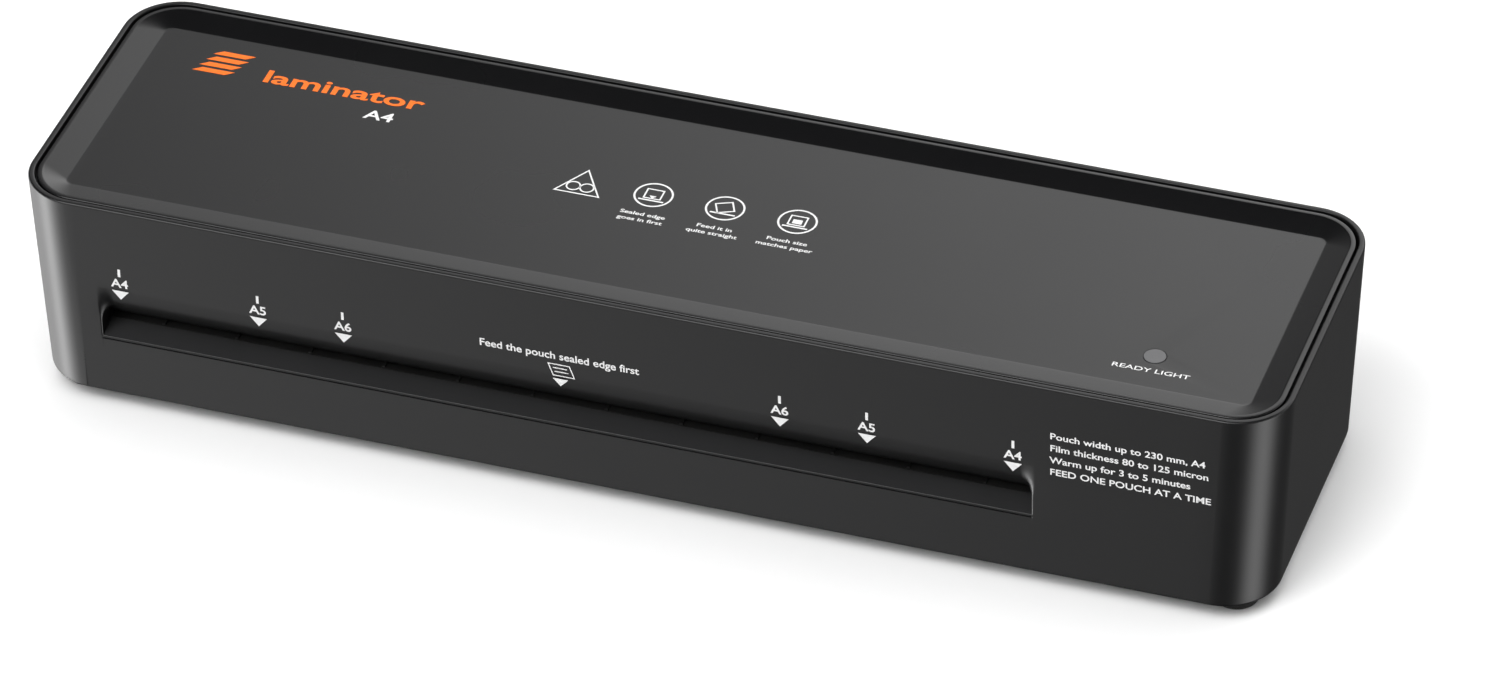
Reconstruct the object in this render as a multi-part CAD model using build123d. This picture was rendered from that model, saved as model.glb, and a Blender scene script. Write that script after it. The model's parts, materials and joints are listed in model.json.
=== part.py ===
from build123d import *
import math
import os

# Pouch laminator: a drafted ABS housing round a two-roller hot laminating drive.
# Millimetres. X runs along the rollers, -Y is the feeding side, +Z is up.
# The origin is the middle of the footprint, on the surface that the feet rest on.

# ---- overall sizes ----
overall_width = 321.0
overall_depth = 95.0
overall_height = 61.0
foot_height = 4.1
exit_lip_reach = 5.5          # how far the exit guide stands out of the rear wall

# ---- casing ----
side_draft = 2.4              # how far each side leans in from rim to base
face_draft = 0.95             # the same for the front and the rear
corner_radius = 14.3
rim_round = 0.55
base_round = 1.0
wall = 2.2
rim_width = 1.6
panel_groove = 0.6            # shadow gap between rim and top panel
panel_drop = 0.2              # panel bead sits this far under the rim
panel_edge_height = 3.6
bead_width = 1.5
panel_flat_inset = 10.0       # from the outside of the casing to the flat of the panel
panel_flat_radius = 2.0
panel_dish = 1.6
ledge_width = 1.2
ledge_height = 2.0
hook_gap = 0.15
hook_width = 12.0
hook_thickness = 1.5
hook_barb = 0.7
base_thickness = 2.4
base_gap = 0.2

# ---- feed mouth, exit slot ----
slot_centre_x = -19.5
slot_width = 238.5
lip_height = 21.8             # lower lip of the mouth above the surface
roll_top = 38.7               # where the upper lip starts to curl in
roll_radius = 17.0
roll_angle = 56.0             # how far the curl turns, degrees
sill_depth = 6.0
sill_rise = 1.6
sill_thickness = 1.8
exit_low = 22.8
exit_high = 32.2

# ---- rollers and their frame ----
roller_y = -2.0
nip_height = 27.5
nip_gap = 0.3
roller_radius = 7.9
core_radius = 4.0
journal_radius = 3.0
core_end_gap = 1.7            # from a side frame to the thick part of the core
clip_reach = 1.8              # from the left side frame to its retaining ring
running_clearance = 0.05
sleeve_overhang = 0.75        # rubber reaches this far past each end of the slot
frame_clear = 4.0             # from the end of the rubber to the frame
frame_thickness = 1.5
frame_front_gap = 5.5         # from the outside of the casing to the side frames, in front
frame_rear_gap = 4.0          # and behind
frame_top = 54.0
tab_length = 10.0
bushing_radius = 5.0
bushing_flange_radius = 6.5
bushing_flange = 1.2
block_width = 10.0
block_height = 11.0
block_cheek = 1.35
cheek_overlap = 1.5
bearing_seat_gap = 0.3
bearing_side_gap = 0.15       # between a bearing cheek and its side frame
spring_seat_height = 51.0
spring_radius = 3.0
spring_wire = 0.4
spring_turns = 6

# ---- gears ----
gear_slack = 0.1              # added to the rollers' centre distance, for their teeth
roller_teeth = 16
idler_teeth = 24
pinion_teeth = 14
gear_width = 6.0
gear_clear = 3.2              # from the side frame to the gears
gear_gap = 0.05               # added to each working centre distance
tooth_thinning = 0.10
pressure_angle = 20.0
flank_steps = 4
idler_direction = 170.0       # from the lower roller, degrees from +Y
pinion_direction = 120.0      # from the idler
stud_radius = 2.0
shaft_radius = 2.5
clip_thickness = 0.8

# ---- heaters ----
shoe_gap = 1.6                # from a roller to its heater plate
shoe_thickness = 1.5
element_thickness = 0.6
shoe_tab_gap = 0.1
shoe_end_gap = 3.2            # from a side frame to the curved plate
shoe_tab_reach = 0.8          # how far a tab stands out of the side frame
lower_shoe_arc = (205.0, 335.0)
upper_shoe_arc = (15.0, 165.0)
lower_element_arc = (225.0, 315.0)
upper_element_arc = (45.0, 135.0)
lower_tabs = [(248.0, 292.0)]
upper_tabs = [(20.0, 40.0), (140.0, 160.0)]
shield_top = 50.8
shield_low = 40.0
shield_thickness = 0.5
shield_reach = 18.0           # from the rollers' middle plane to each leg
shield_foot = 8.0
thermostat_inset = 10.0       # from the right end of the slot
thermostat_radius = 6.5
thermostat_height = 4.0
saddle_thickness = 1.0
fuse_direction = 20.0
fuse_radius = 2.0
fuse_lead_radius = 0.4
fuse_span = (30.0, 42.0)
fuse_clip_span = (33.0, 39.0)

# ---- guides ----
guide_thickness = 1.5
guide_rib_pitch = 19.2
guide_rib_width = 0.8
guide_rib_height = 0.6
guide_roller_gap = 0.4        # how far the guides reach over the rollers
guide_block_gap = 0.5         # but never nearer than this to the bearing blocks
guide_step = 1.2              # the lower guides end this far under the nip
guide_flare = 1.3             # and the upper ones this far over it
guide_screw_places = {        # (y from the rollers' middle plane, height)
    "entry_lower": (-30.0, 20.0),
    "entry_upper": (-23.0, 33.0),
    "exit_lower": (26.0, 20.0),
    "exit_upper": (24.0, 34.5),
}
guide_lug_length = 6.0
guide_lug_half = 3.0
exit_lip_thickness = 2.4
exit_lip_round = 1.0

# ---- drive compartment ----
motor_radius = 21.0
gearbox_length = 8.0
motor_length = 14.0
bracket_thickness = 1.5
standoff_length = 11.5
standoff_radius = 3.0
standoff_foot = 3.4           # the low post's height over the base plate
motor_offset = (9.3, -8.9)    # from the output shaft to the motor's middle, along Y and Z
motor_ear_radius = 4.5
motor_ear_thickness = 1.5
bracket_front_gap = 4.0
bracket_rear = 5.0
bracket_foot_gap = 0.4
bracket_top_gap = 2.0
board_thickness = 1.6
board_side_gap = 15.5         # from the right side of the casing
board_span = (-41.0, 20.0)
board_heights = (8.5, 46.0)
board_posts = [(-30.0, -24.0), (0.0, 6.0)]
board_post_width = 5.0
board_post_top = 30.0
board_screw_heights = (14.0, 26.0)

# ---- indicator, inlet, switch ----
lens_side_gap = 36.8          # from the right side of the casing
lens_y = -25.4
lens_radius = 2.75
lens_depth = 3.0
lens_stand = 0.1              # how far the lens stands out of the panel
lens_collar = 1.5
led_size = (3.2, 2.8, 1.5)
led_gap = 0.4
led_board_size = (16.0, 8.0, 0.8)
led_pin_reach = 6.0
led_pin_radius = 1.0
controls_side_gap = 32.5      # from the right side of the casing to the inlet and the switch
control_hole_margin = 0.1
flange_thickness = 1.2
flange_seat = 0.05
inlet_height = 21.0
inlet_width = 11.4
inlet_body_height = 19.8
inlet_length = 18.0
inlet_flange = 1.6
inlet_floor = 6.5
inlet_well_radius = 3.9
inlet_neck = 2.6
pin_spacing = 8.6
pin_radius = 1.19
switch_height = 44.5
switch_width = 9.4
switch_body_height = 15.4
switch_length = 15.0
switch_flange = 1.2
switch_pivot_depth = 1.5
switch_pin_radius = 1.0
switch_pin_length = 0.9
rocker_radius = 6.2
rocker_width = 6.6
rocker_gap = 0.3
rocker_half_thickness = 3.4
switch_throw = 20.0           # degrees between off and on

# ---- screws ----
screw_radius = 1.5
screw_head_radius = 2.8
screw_head_height = 2.0

# ---- base and feet ----
base_screw_y = 15.0           # from the middle of the casing
base_screw_sink = 1.0
base_boss_radius = 3.25
base_boss_gap = 4.4           # from the inside of the casing wall
base_boss_top = 30.0
foot_side_gap = 12.5
foot_end_gap = 11.75
foot_radius = 6.0
foot_taper = 0.5
foot_round = 0.6
foot_stud_radius = 2.0
foot_stud_barb = 0.9
foot_sink = 0.6
vent_spots = (-90.0, 40.0, 128.0)
vent_count = 5
vent_pitch = 6.0
vent_width = 2.5
vent_span = (-14.0, 10.0)
base_rib_spots = (-24.5, 20.5)
base_rib_height = 2.6
panel_hook_spots = (-110.0, -45.0, 20.0, 85.0)
panel_hook_height = 1.6

# ---- places worked out from the sizes above ----
shell_front = -overall_depth / 2
shell_rear = overall_depth / 2 - exit_lip_reach
shell_mid_y = (shell_front + shell_rear) / 2
shell_depth = shell_rear - shell_front
body_height = overall_height - foot_height
base_top = foot_height + base_thickness
panel_top = overall_height - panel_drop
ledge_top = panel_top - panel_edge_height
panel_inset = rim_width + panel_groove
panel_flat = panel_top - panel_dish
slot_left = slot_centre_x - slot_width / 2
slot_right = slot_centre_x + slot_width / 2
sleeve_left = slot_left - sleeve_overhang
sleeve_right = slot_right + sleeve_overhang
left_face = sleeve_left - frame_clear       # inner face of the left side frame
right_face = sleeve_right + frame_clear     # inner face of the right side frame
roller_drop = roller_radius + nip_gap / 2
lower_z = nip_height - roller_drop
upper_z = nip_height + roller_drop
frame_front = shell_front + frame_front_gap
frame_rear = shell_rear - frame_rear_gap
shoe_inner_radius = roller_radius + shoe_gap
shoe_outer_radius = shoe_inner_radius + shoe_thickness
gear_module = (2 * roller_drop - gear_slack) / roller_teeth
gear_left = right_face + frame_thickness + gear_clear
gear_right = gear_left + gear_width
bracket_left = right_face + frame_thickness + standoff_length
bracket_right = bracket_left + bracket_thickness
gearbox_right = bracket_right + gearbox_length
motor_right = gearbox_right + motor_length


def polar(centre, distance, degrees):
    """A (y, z) point at a distance and direction from another."""
    angle = math.radians(degrees)
    return (centre[0] + distance * math.cos(angle), centre[1] + distance * math.sin(angle))


lower_axis = (roller_y, lower_z)
upper_axis = (roller_y, upper_z)
idler_reach = gear_module * (roller_teeth + idler_teeth) / 2 + gear_gap
pinion_reach = gear_module * (idler_teeth + pinion_teeth) / 2 + gear_gap
idler_axis = polar(lower_axis, idler_reach, idler_direction)
pinion_axis = polar(idler_axis, pinion_reach, pinion_direction)
motor_axis = (pinion_axis[0] + motor_offset[0], pinion_axis[1] + motor_offset[1])
core_left = left_face + core_end_gap
core_right = right_face - core_end_gap
journal_left = left_face - frame_thickness - 2 * clip_reach
journal_right = gear_right + 1.4
shoe_left = left_face + shoe_end_gap
shoe_right = right_face - shoe_end_gap
thermostat_x = slot_right - thermostat_inset
fuse_axis = polar(upper_axis, shoe_outer_radius + 2.8, fuse_direction)
guide_near = max(roller_radius - guide_roller_gap, block_width / 2 + cheek_overlap + guide_block_gap)
exit_top = nip_height - 1.9

spring_spots = (left_face - frame_thickness / 2, right_face + frame_thickness / 2)
half_width = overall_width / 2
boss_x = half_width - side_draft - wall - base_boss_gap
base_screw_spots = [(side * boss_x, shell_mid_y + end * base_screw_y) for side in (-1, 1) for end in (-1, 1)]
foot_x = half_width - foot_side_gap
foot_y = shell_depth / 2 - foot_end_gap
foot_spots = [(side * foot_x, shell_mid_y + end * foot_y) for side in (-1, 1) for end in (-1, 1)]
tab_spots = [frame_front + 7.0, frame_rear - 7.0]
tie_bar_spots = [(frame_front + 14.0, frame_top - 4.0), (frame_rear - 4.0, frame_top - 8.0)]
standoff_spots = [
    (frame_front + 4.0, frame_top - 5.0),
    (roller_y - 10.0, frame_top - 5.0),
    (roller_y - 8.0, base_top + standoff_foot),
]
motor_ear_spots = [polar(motor_axis, motor_radius + 4.0, 30), polar(motor_axis, motor_radius + 3.5, 225)]
guide_spots = [(roller_y + y, z) for y, z in guide_screw_places.values()]
shared_spots = tie_bar_spots + guide_spots
bracket_span = (shell_front + bracket_front_gap, bracket_rear)
motor_screw_seat = bracket_right + motor_ear_thickness
board_left = half_width - board_side_gap
board_right = board_left + board_thickness
board_screw_spots = [(sum(post) / 2, z) for post in board_posts for z in board_screw_heights]
lens_x = half_width - lens_side_gap
lens_bottom = panel_flat - lens_depth
led_board_top = lens_bottom - led_size[2] - led_gap
led_pin_spots = [(lens_x + side * led_pin_reach, lens_y) for side in (-1, 1)]
rear_controls_x = half_width - controls_side_gap
flange_back = shell_rear - flange_seat
flange_front = flange_back + flange_thickness
inlet_back = shell_rear - inlet_length
switch_back = shell_rear - switch_length
switch_pivot = (shell_rear - switch_pivot_depth, switch_height)


def block(x, y, z):
    """A box between two limits on each axis."""
    size = [span[1] - span[0] for span in (x, y, z)]
    middle = [(span[0] + span[1]) / 2 for span in (x, y, z)]
    return Pos(*middle) * Box(*size)


def rod_x(axis, radius, low, high):
    """A cylinder along X, centred on a (y, z) point."""
    return Pos((low + high) / 2, axis[0], axis[1]) * Rot(0, 90, 0) * Cylinder(radius, high - low)


def rod_y(x, z, radius, low, high):
    """A cylinder along Y."""
    return Pos(x, (low + high) / 2, z) * Rot(90, 0, 0) * Cylinder(radius, high - low)


def rod_z(spot, radius, low, high):
    """A cylinder along Z, centred on an (x, y) point."""
    return Pos(spot[0], spot[1], (low + high) / 2) * Cylinder(radius, high - low)


def tube_x(axis, inner, outer, low, high):
    return rod_x(axis, outer, low, high) - rod_x(axis, inner, low - 1, high + 1)


def prism_x(points, low, high):
    """A section drawn in (y, z) and drawn out along X."""
    face = make_face(Polyline(*points, close=True))
    return extrude(Plane.YZ.offset(low) * face, high - low)


def sector_x(axis, inner, outer, start, end, low, high):
    """Part of a tube along X, between two directions in degrees."""
    middle = (start + end) / 2
    inside = polar(axis, inner, middle)
    outside = polar(axis, outer, middle)
    a, b = polar(axis, inner, start), polar(axis, outer, start)
    c, d = polar(axis, outer, end), polar(axis, inner, end)
    edges = [Line(a, b), ThreePointArc(b, outside, c), Line(c, d), ThreePointArc(d, inside, a)]
    return extrude(Plane.YZ.offset(low) * make_face(Wire(edges)), high - low)


def screw_z(spot, head_z, length, up=True):
    """A pan-head screw along Z: the shank points up from the head, or down."""
    way = 1 if up else -1
    shank = sorted((head_z, head_z + way * length))
    head = sorted((head_z, head_z - way * screw_head_height))
    return rod_z(spot, screw_radius, *shank) + rod_z(spot, screw_head_radius, *head)


def screw_x(axis, head_x, length, way):
    """A pan-head screw along X: the shank leaves the head in the direction of way."""
    shank = sorted((head_x, head_x + way * length))
    head = sorted((head_x, head_x - way * screw_head_height))
    return rod_x(axis, screw_radius, *shank) + rod_x(axis, screw_head_radius, *head)


def group(solids):
    """Several separate solids kept as one node."""
    return Compound(children=list(solids))


# ---- casing ----

def lean(z):
    """How far the casing has leaned in at a height, at its sides and at its faces."""
    share = (overall_height - z) / body_height
    return side_draft * share, face_draft * share


def front_at(z):
    return shell_front + lean(z)[1]


def rear_at(z):
    return shell_rear - lean(z)[1]


def plan(inset, z, radius=None):
    """Outline of the casing at a height, moved in by an inset."""
    side, face = lean(z)
    width = overall_width - 2 * (side + inset)
    depth = shell_depth - 2 * (face + inset)
    rounding = corner_radius - inset if radius is None else radius
    return Pos(0, shell_mid_y, z) * RectangleRounded(width, depth, rounding)


def slab(inset, low, high):
    return loft([plan(inset, low), plan(inset, high)], ruled=True)


def curl_point(radius, degrees):
    """A point of the upper lip's curl, whose centre is inside the casing."""
    angle = math.radians(degrees)
    centre_y = front_at(roll_top) + roll_radius
    return (centre_y - radius * math.cos(angle), roll_top - radius * math.sin(angle))


def lintel():
    """The upper lip of the mouth, which curls inwards at one wall thickness."""
    inner = roll_radius - wall
    outer_arc = ThreePointArc(*[curl_point(roll_radius, a) for a in (0, roll_angle / 2, roll_angle)])
    inner_arc = ThreePointArc(*[curl_point(inner, a) for a in (roll_angle, roll_angle / 2, 0)])
    tip = Line(curl_point(roll_radius, roll_angle), curl_point(inner, roll_angle))
    root = Line(curl_point(inner, 0), curl_point(roll_radius, 0))
    face = make_face(Wire([outer_arc, tip, inner_arc, root]))
    return extrude(Plane.YZ.offset(slot_left - wall) * face, slot_width + 2 * wall)


def sill_section():
    front = front_at(lip_height)
    back = front + sill_depth
    rise = lip_height + sill_rise
    return [(front, lip_height), (back, rise), (back, rise - sill_thickness), (front + wall, lip_height - wall),
            (front_at(lip_height - wall), lip_height - wall)]


def mouth_cheek(low, high):
    """Wall that closes one end of the mouth, from the lip to the curl."""
    front = front_at(lip_height)
    sill_back = front + sill_depth
    sill_top = lip_height + sill_rise
    tip_y = curl_point(roll_radius - wall, roll_angle)[0]
    points = [(front, lip_height - wall), (sill_back, sill_top - sill_thickness), (sill_back, sill_top)]
    points += [(tip_y, sill_top + 0.9), (tip_y, roll_top - 9.0)]
    points += [(front_at(roll_top) + wall, roll_top), (front_at(roll_top), roll_top)]
    return prism_x(points, low, high)


def base_boss(spot):
    """Post that a base screw bites in, with a web to the side wall."""
    top = base_boss_top
    outwards = math.copysign(1, spot[0])
    wall_x = outwards * (overall_width / 2 - lean(top)[0] - wall / 2)
    web = block(sorted((spot[0], wall_x)), (spot[1] - 1.0, spot[1] + 1.0), (base_top, top))
    return rod_z(spot, base_boss_radius, base_top, top) + web - rod_z(spot, screw_radius, 0, top - 6)


def housing_shell():
    outer = slab(0, foot_height, overall_height)
    outer = fillet(outer.edges().group_by(Axis.Z)[-1], rim_round)
    outer = fillet(outer.edges().group_by(Axis.Z)[0], base_round)
    shell = outer - slab(wall, foot_height - 1, ledge_top) - slab(rim_width, ledge_top, overall_height + 1)
    band = slab(wall - 0.3, ledge_top - ledge_height, ledge_top)
    shell += band - slab(wall + ledge_width, ledge_top - ledge_height - 1, ledge_top + 1)
    for spot in base_screw_spots:
        shell += base_boss(spot)
    mouth_y = (shell_front - 1, front_at(lip_height) + wall)
    shell -= block((slot_left, slot_right), mouth_y, (lip_height, roll_top))
    shell -= block((slot_left, slot_right), (shell_rear - 5, shell_rear + 1), (exit_low, exit_high))
    shell += lintel() & slab(0.01, foot_height, overall_height)
    shell += prism_x(sill_section(), slot_left - wall, slot_right + wall)
    shell += mouth_cheek(slot_left - wall, slot_left) + mouth_cheek(slot_right, slot_right + wall)
    shell -= inlet_outline(control_hole_margin, shell_rear - 6, shell_rear + 1)
    shell -= switch_outline(control_hole_margin, shell_rear - 6, shell_rear + 1)
    return shell


def panel_hook(x, y, way):
    """Snap hook under the panel. way is the (x, y) direction of the wall it faces."""
    along_x = way[0] == 0
    leg_low = ledge_top - ledge_height - hook_gap - panel_hook_height
    half = hook_width / 2
    if along_x:
        leg_y = sorted((y, y - way[1] * hook_thickness))
        barb_y = sorted((y, y + way[1] * hook_barb))
        leg = block((x - half, x + half), leg_y, (leg_low, ledge_top + 0.5))
        return leg + block((x - half, x + half), barb_y, (leg_low, leg_low + panel_hook_height))
    leg_x = sorted((x, x - way[0] * hook_thickness))
    barb_x = sorted((x, x + way[0] * hook_barb))
    leg = block(leg_x, (y - half, y + half), (leg_low, ledge_top + 0.5))
    return leg + block(barb_x, (y - half, y + half), (leg_low, leg_low + panel_hook_height))


def top_panel():
    panel = slab(panel_inset, ledge_top, panel_top)
    brim = plan(panel_inset + bead_width, panel_top)
    flat = plan(panel_flat_inset, panel_flat, panel_flat_radius)
    panel -= loft([flat, brim], ruled=True)
    inset = wall + ledge_width + hook_gap
    side, face = lean(ledge_top - ledge_height)
    hook_x = overall_width / 2 - side - inset
    for x in panel_hook_spots:
        panel += panel_hook(x, shell_front + face + inset, (0, -1))
        panel += panel_hook(x, shell_rear - face - inset, (0, 1))
    panel += panel_hook(-hook_x, shell_mid_y, (-1, 0)) + panel_hook(hook_x, shell_mid_y, (1, 0))
    panel += rod_z((lens_x, lens_y), lens_radius + lens_collar, led_board_top, ledge_top + 0.5)
    panel -= rod_z((lens_x, lens_y), lens_radius + running_clearance, lens_bottom, panel_top + 1)
    panel -= rod_z((lens_x, lens_y), lens_radius - 0.5, led_board_top - 1, lens_bottom + 0.5)
    for spot in led_pin_spots:
        panel += rod_z(spot, led_pin_radius, led_board_top - led_board_size[2], ledge_top + 0.5)
    return panel


def indicator_lens():
    lens = rod_z((lens_x, lens_y), lens_radius, lens_bottom, panel_flat + lens_stand)
    return fillet(lens.edges().group_by(Axis.Z)[-1], 0.08)


def indicator_led():
    half_x, half_y = led_size[0] / 2, led_size[1] / 2
    height = (led_board_top, led_board_top + led_size[2])
    return block((lens_x - half_x, lens_x + half_x), (lens_y - half_y, lens_y + half_y), height)


def indicator_board():
    """Small board staked under the panel, which carries the indicator's light."""
    half_x, half_y = led_board_size[0] / 2, led_board_size[1] / 2
    height = (led_board_top - led_board_size[2], led_board_top)
    board = block((lens_x - half_x, lens_x + half_x), (lens_y - half_y, lens_y + half_y), height)
    for spot in led_pin_spots:
        board -= rod_z(spot, led_pin_radius, height[0] - 1, height[1] + 1)
    return board


def base_plate():
    plate = slab(wall + base_gap, foot_height, base_top)
    for spot in base_screw_spots:
        plate -= rod_z(spot, screw_radius, 0, base_top + 1)
        plate -= rod_z(spot, screw_head_radius + 0.3, 0, foot_height + base_screw_sink)
    for spot in foot_spots:
        plate -= rod_z(spot, foot_radius + 0.2, 0, foot_height + foot_sink)
        plate -= rod_z(spot, foot_stud_radius, 0, base_top + 1)
    for x in vent_spots:
        for step in range(vent_count):
            slot_x = x + vent_pitch * (step - vent_count // 2)
            plate -= block((slot_x - vent_width / 2, slot_x + vent_width / 2), vent_span, (0, base_top + 1))
    rib_height = (base_top, base_top + base_rib_height)
    for y in base_rib_spots:
        plate += block((left_face + 2, right_face - 2), (y - 1.0, y + 1.0), rib_height)
    for x in (left_face + tab_length / 2, right_face - tab_length / 2):
        for y in tab_spots:
            plate -= rod_z((x, y), screw_radius, foot_height + 0.6, base_top + 1)
    for post in board_posts:
        plate += block((board_right, board_right + board_post_width), post, (base_top - 0.2, board_post_top))
    for spot in board_screw_spots:
        plate -= rod_x(spot, screw_radius, board_right - 1, board_right + board_post_width - 0.6)
    return plate


def rubber_foot(spot):
    cup_top = foot_height + foot_sink
    foot = loft([Pos(*spot, 0) * Circle(foot_radius - foot_taper), Pos(*spot, cup_top) * Circle(foot_radius)])
    foot = fillet(foot.edges().group_by(Axis.Z)[0], foot_round)
    foot += rod_z(spot, foot_stud_radius, cup_top - 0.5, base_top + 1.0)
    return foot + rod_z(spot, foot_stud_radius + foot_stud_barb, base_top, base_top + 1.0)


# ---- rear controls ----

def inlet_outline(margin, low, high):
    half_x = inlet_width / 2 + margin
    half_z = inlet_body_height / 2 + margin
    span_z = (inlet_height - half_z, inlet_height + half_z)
    return block((rear_controls_x - half_x, rear_controls_x + half_x), (low, high), span_z)


def switch_outline(margin, low, high):
    half_x = switch_width / 2 + margin
    half_z = switch_body_height / 2 + margin
    span_z = (switch_height - half_z, switch_height + half_z)
    return block((rear_controls_x - half_x, rear_controls_x + half_x), (low, high), span_z)


def power_inlet():
    """Two-pole appliance inlet, its figure-of-eight socket standing upright."""
    body = inlet_outline(0, inlet_back, flange_back) + inlet_outline(inlet_flange, flange_back, flange_front)
    floor = inlet_back + inlet_floor
    for side in (-1, 1):
        z = inlet_height + side * pin_spacing / 2
        body -= rod_y(rear_controls_x, z, inlet_well_radius, floor, flange_front + 1)
        body -= rod_y(rear_controls_x, z, pin_radius, inlet_back - 1, floor + 1)
    neck_z = (inlet_height - pin_spacing / 2, inlet_height + pin_spacing / 2)
    neck_x = (rear_controls_x - inlet_neck, rear_controls_x + inlet_neck)
    return body - block(neck_x, (floor, flange_front + 1), neck_z)


def inlet_pin(side):
    z = inlet_height + side * pin_spacing / 2
    tail_x = (rear_controls_x - 0.4, rear_controls_x + 0.4)
    tail = block(tail_x, (inlet_back - 6, inlet_back), (z - 1.2, z + 1.2))
    return rod_y(rear_controls_x, z, pin_radius, inlet_back, flange_front - 2.0) + tail


def switch_body():
    body = switch_outline(0, switch_back, flange_back)
    body += switch_outline(switch_flange, flange_back, flange_front)
    reach = rocker_radius + rocker_gap
    well_half = rocker_width / 2 + rocker_gap
    well_x = (rear_controls_x - well_half, rear_controls_x + well_half)
    well_y = (switch_pivot[0] - reach, flange_front + 1)
    body -= block(well_x, well_y, (switch_height - reach, switch_height + reach))
    pin_reach = rocker_width / 2 + rocker_gap + 0.8
    pin_hole = switch_pin_radius + running_clearance
    return body - rod_x(switch_pivot, pin_hole, rear_controls_x - pin_reach, rear_controls_x + pin_reach)


def switch_rocker():
    """Rocker in its off position, leaning by half its throw."""
    low, high = rear_controls_x - rocker_width / 2, rear_controls_x + rocker_width / 2
    barrel = rod_x(switch_pivot, rocker_radius, low, high)
    face_y = switch_pivot[0] + rocker_half_thickness
    top = block((low - 1, high + 1), (face_y, face_y + 10), (switch_height - 10, switch_height + 10))
    under_y = switch_pivot[0] - rocker_half_thickness
    under = block((low - 1, high + 1), (under_y - 10, under_y), (switch_height - 10, switch_height + 10))
    rocker = barrel - top - under
    pin_reach = rocker_width / 2 + switch_pin_length
    rocker += rod_x(switch_pivot, switch_pin_radius, rear_controls_x - pin_reach, rear_controls_x + pin_reach)
    pivot = Pos(0, *switch_pivot)
    return pivot * Rot(switch_throw / -2, 0, 0) * pivot.inverse() * rocker


def switch_terminal(side):
    z = switch_height + side * 4.5
    tab_x = (rear_controls_x - 2.4, rear_controls_x + 2.4)
    return block(tab_x, (switch_back - 7, switch_back), (z - 0.4, z + 0.4))


# ---- side frames and what joins them ----

def frame_plate(low, high, holes):
    """One pressed steel side frame; low and high are its faces along X."""
    inwards = 1 if low < slot_centre_x else -1
    inner = high if inwards > 0 else low
    corner = 4.0
    points = [(frame_front, base_top), (frame_rear, base_top), (frame_rear, frame_top - corner),
              (frame_rear - corner, frame_top), (frame_front + corner, frame_top),
              (frame_front, frame_top - corner)]
    plate = prism_x(points, low, high)
    for y in tab_spots:
        tab_x = sorted((inner - inwards * 0.5, inner + inwards * tab_length))
        plate += block(tab_x, (y - 5, y + 5), (base_top, base_top + frame_thickness))
        plate -= rod_z((inner + inwards * tab_length / 2, y), screw_radius, 0, base_top + 5)
    plate -= rod_x(lower_axis, bushing_radius, low - 1, high + 1)
    half = block_width / 2 + running_clearance
    slot_low = upper_z - block_height / 2 - bearing_seat_gap
    plate -= block((low - 1, high + 1), (roller_y - half, roller_y + half), (slot_low, spring_seat_height))
    plate += block((low, high), (roller_y - 1.2, roller_y + 1.2), (spring_seat_height - 3, spring_seat_height))
    for start, end in lower_tabs:
        plate -= shoe_tab(lower_axis, start, end, shoe_tab_gap, low - 1, high + 1)
    for start, end in upper_tabs:
        plate -= shoe_tab(upper_axis, start, end, shoe_tab_gap, low - 1, high + 1)
    for spot in holes:
        plate -= rod_x(spot, screw_radius, low - 1, high + 1)
    return plate



def left_side_frame():
    return frame_plate(left_face - frame_thickness, left_face, shared_spots)


def right_side_frame():
    plate = frame_plate(right_face, right_face + frame_thickness, shared_spots + standoff_spots)
    return plate - rod_x(idler_axis, stud_radius, right_face - 1, right_face + frame_thickness + 1)


def tie_bar(spot):
    bar = rod_x(spot, 3.5, left_face, right_face)
    for low in (left_face - 1, right_face - 7):
        bar -= rod_x(spot, screw_radius, low, low + 8)
    return bar


def side_screws(spots, length):
    """Screws through both side frames, heads outside."""
    screws = [screw_x(spot, left_face - frame_thickness, length, 1) for spot in spots]
    return screws + [screw_x(spot, right_face + frame_thickness, length, -1) for spot in spots]


def frame_base_screws():
    spots = [(x, y) for x in (left_face + tab_length / 2, right_face - tab_length / 2) for y in tab_spots]
    top = base_top + frame_thickness
    return group(screw_z(spot, top, top - foot_height - 0.6, up=False) for spot in spots)


# ---- rollers ----

def roller_core(axis):
    core = rod_x(axis, core_radius, core_left, core_right)
    return core + rod_x(axis, journal_radius, journal_left, journal_right)


def roller_sleeve(axis):
    return tube_x(axis, core_radius, roller_radius, sleeve_left, sleeve_right)


def roller_clips(axis):
    """Retaining rings: outside the left bearing, and outside the gear."""
    left_clip = left_face - frame_thickness - clip_reach
    left = tube_x(axis, journal_radius, journal_radius + 2, left_clip - clip_thickness, left_clip)
    right = tube_x(axis, journal_radius, journal_radius + 2, gear_right, gear_right + clip_thickness)
    return group([left, right])


def lower_bushing(inner, outwards):
    flange = sorted((inner, inner - outwards * bushing_flange))
    barrel = sorted((inner, inner + outwards * (frame_thickness + 1.0)))
    bush = rod_x(lower_axis, bushing_flange_radius, *flange) + rod_x(lower_axis, bushing_radius, *barrel)
    return bush - rod_x(lower_axis, journal_radius + running_clearance, inner - 5, inner + 5)


def bearing_block(inner, outwards):
    """Sliding bearing: its cheeks straddle the frame, a spigot on top centres the spring."""
    outer = inner + outwards * frame_thickness
    z = (upper_z - block_height / 2, upper_z + block_height / 2)
    cheek_half = block_width / 2 + cheek_overlap
    reach = block_cheek + bearing_side_gap
    core = block(sorted((inner - outwards * reach, outer + outwards * reach)),
                 (roller_y - block_width / 2, roller_y + block_width / 2), z)
    for face, way in ((inner, -outwards), (outer, outwards)):
        span = sorted((face + way * bearing_side_gap, face + way * reach))
        core += block(span, (roller_y - cheek_half, roller_y + cheek_half), z)
    middle = (inner + outer) / 2
    core += rod_z((middle, roller_y), spring_radius - spring_wire - 0.5, z[1] - 0.5, z[1] + 2.0)
    return core - rod_x(upper_axis, journal_radius + running_clearance, inner - 8, inner + 8)


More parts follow.
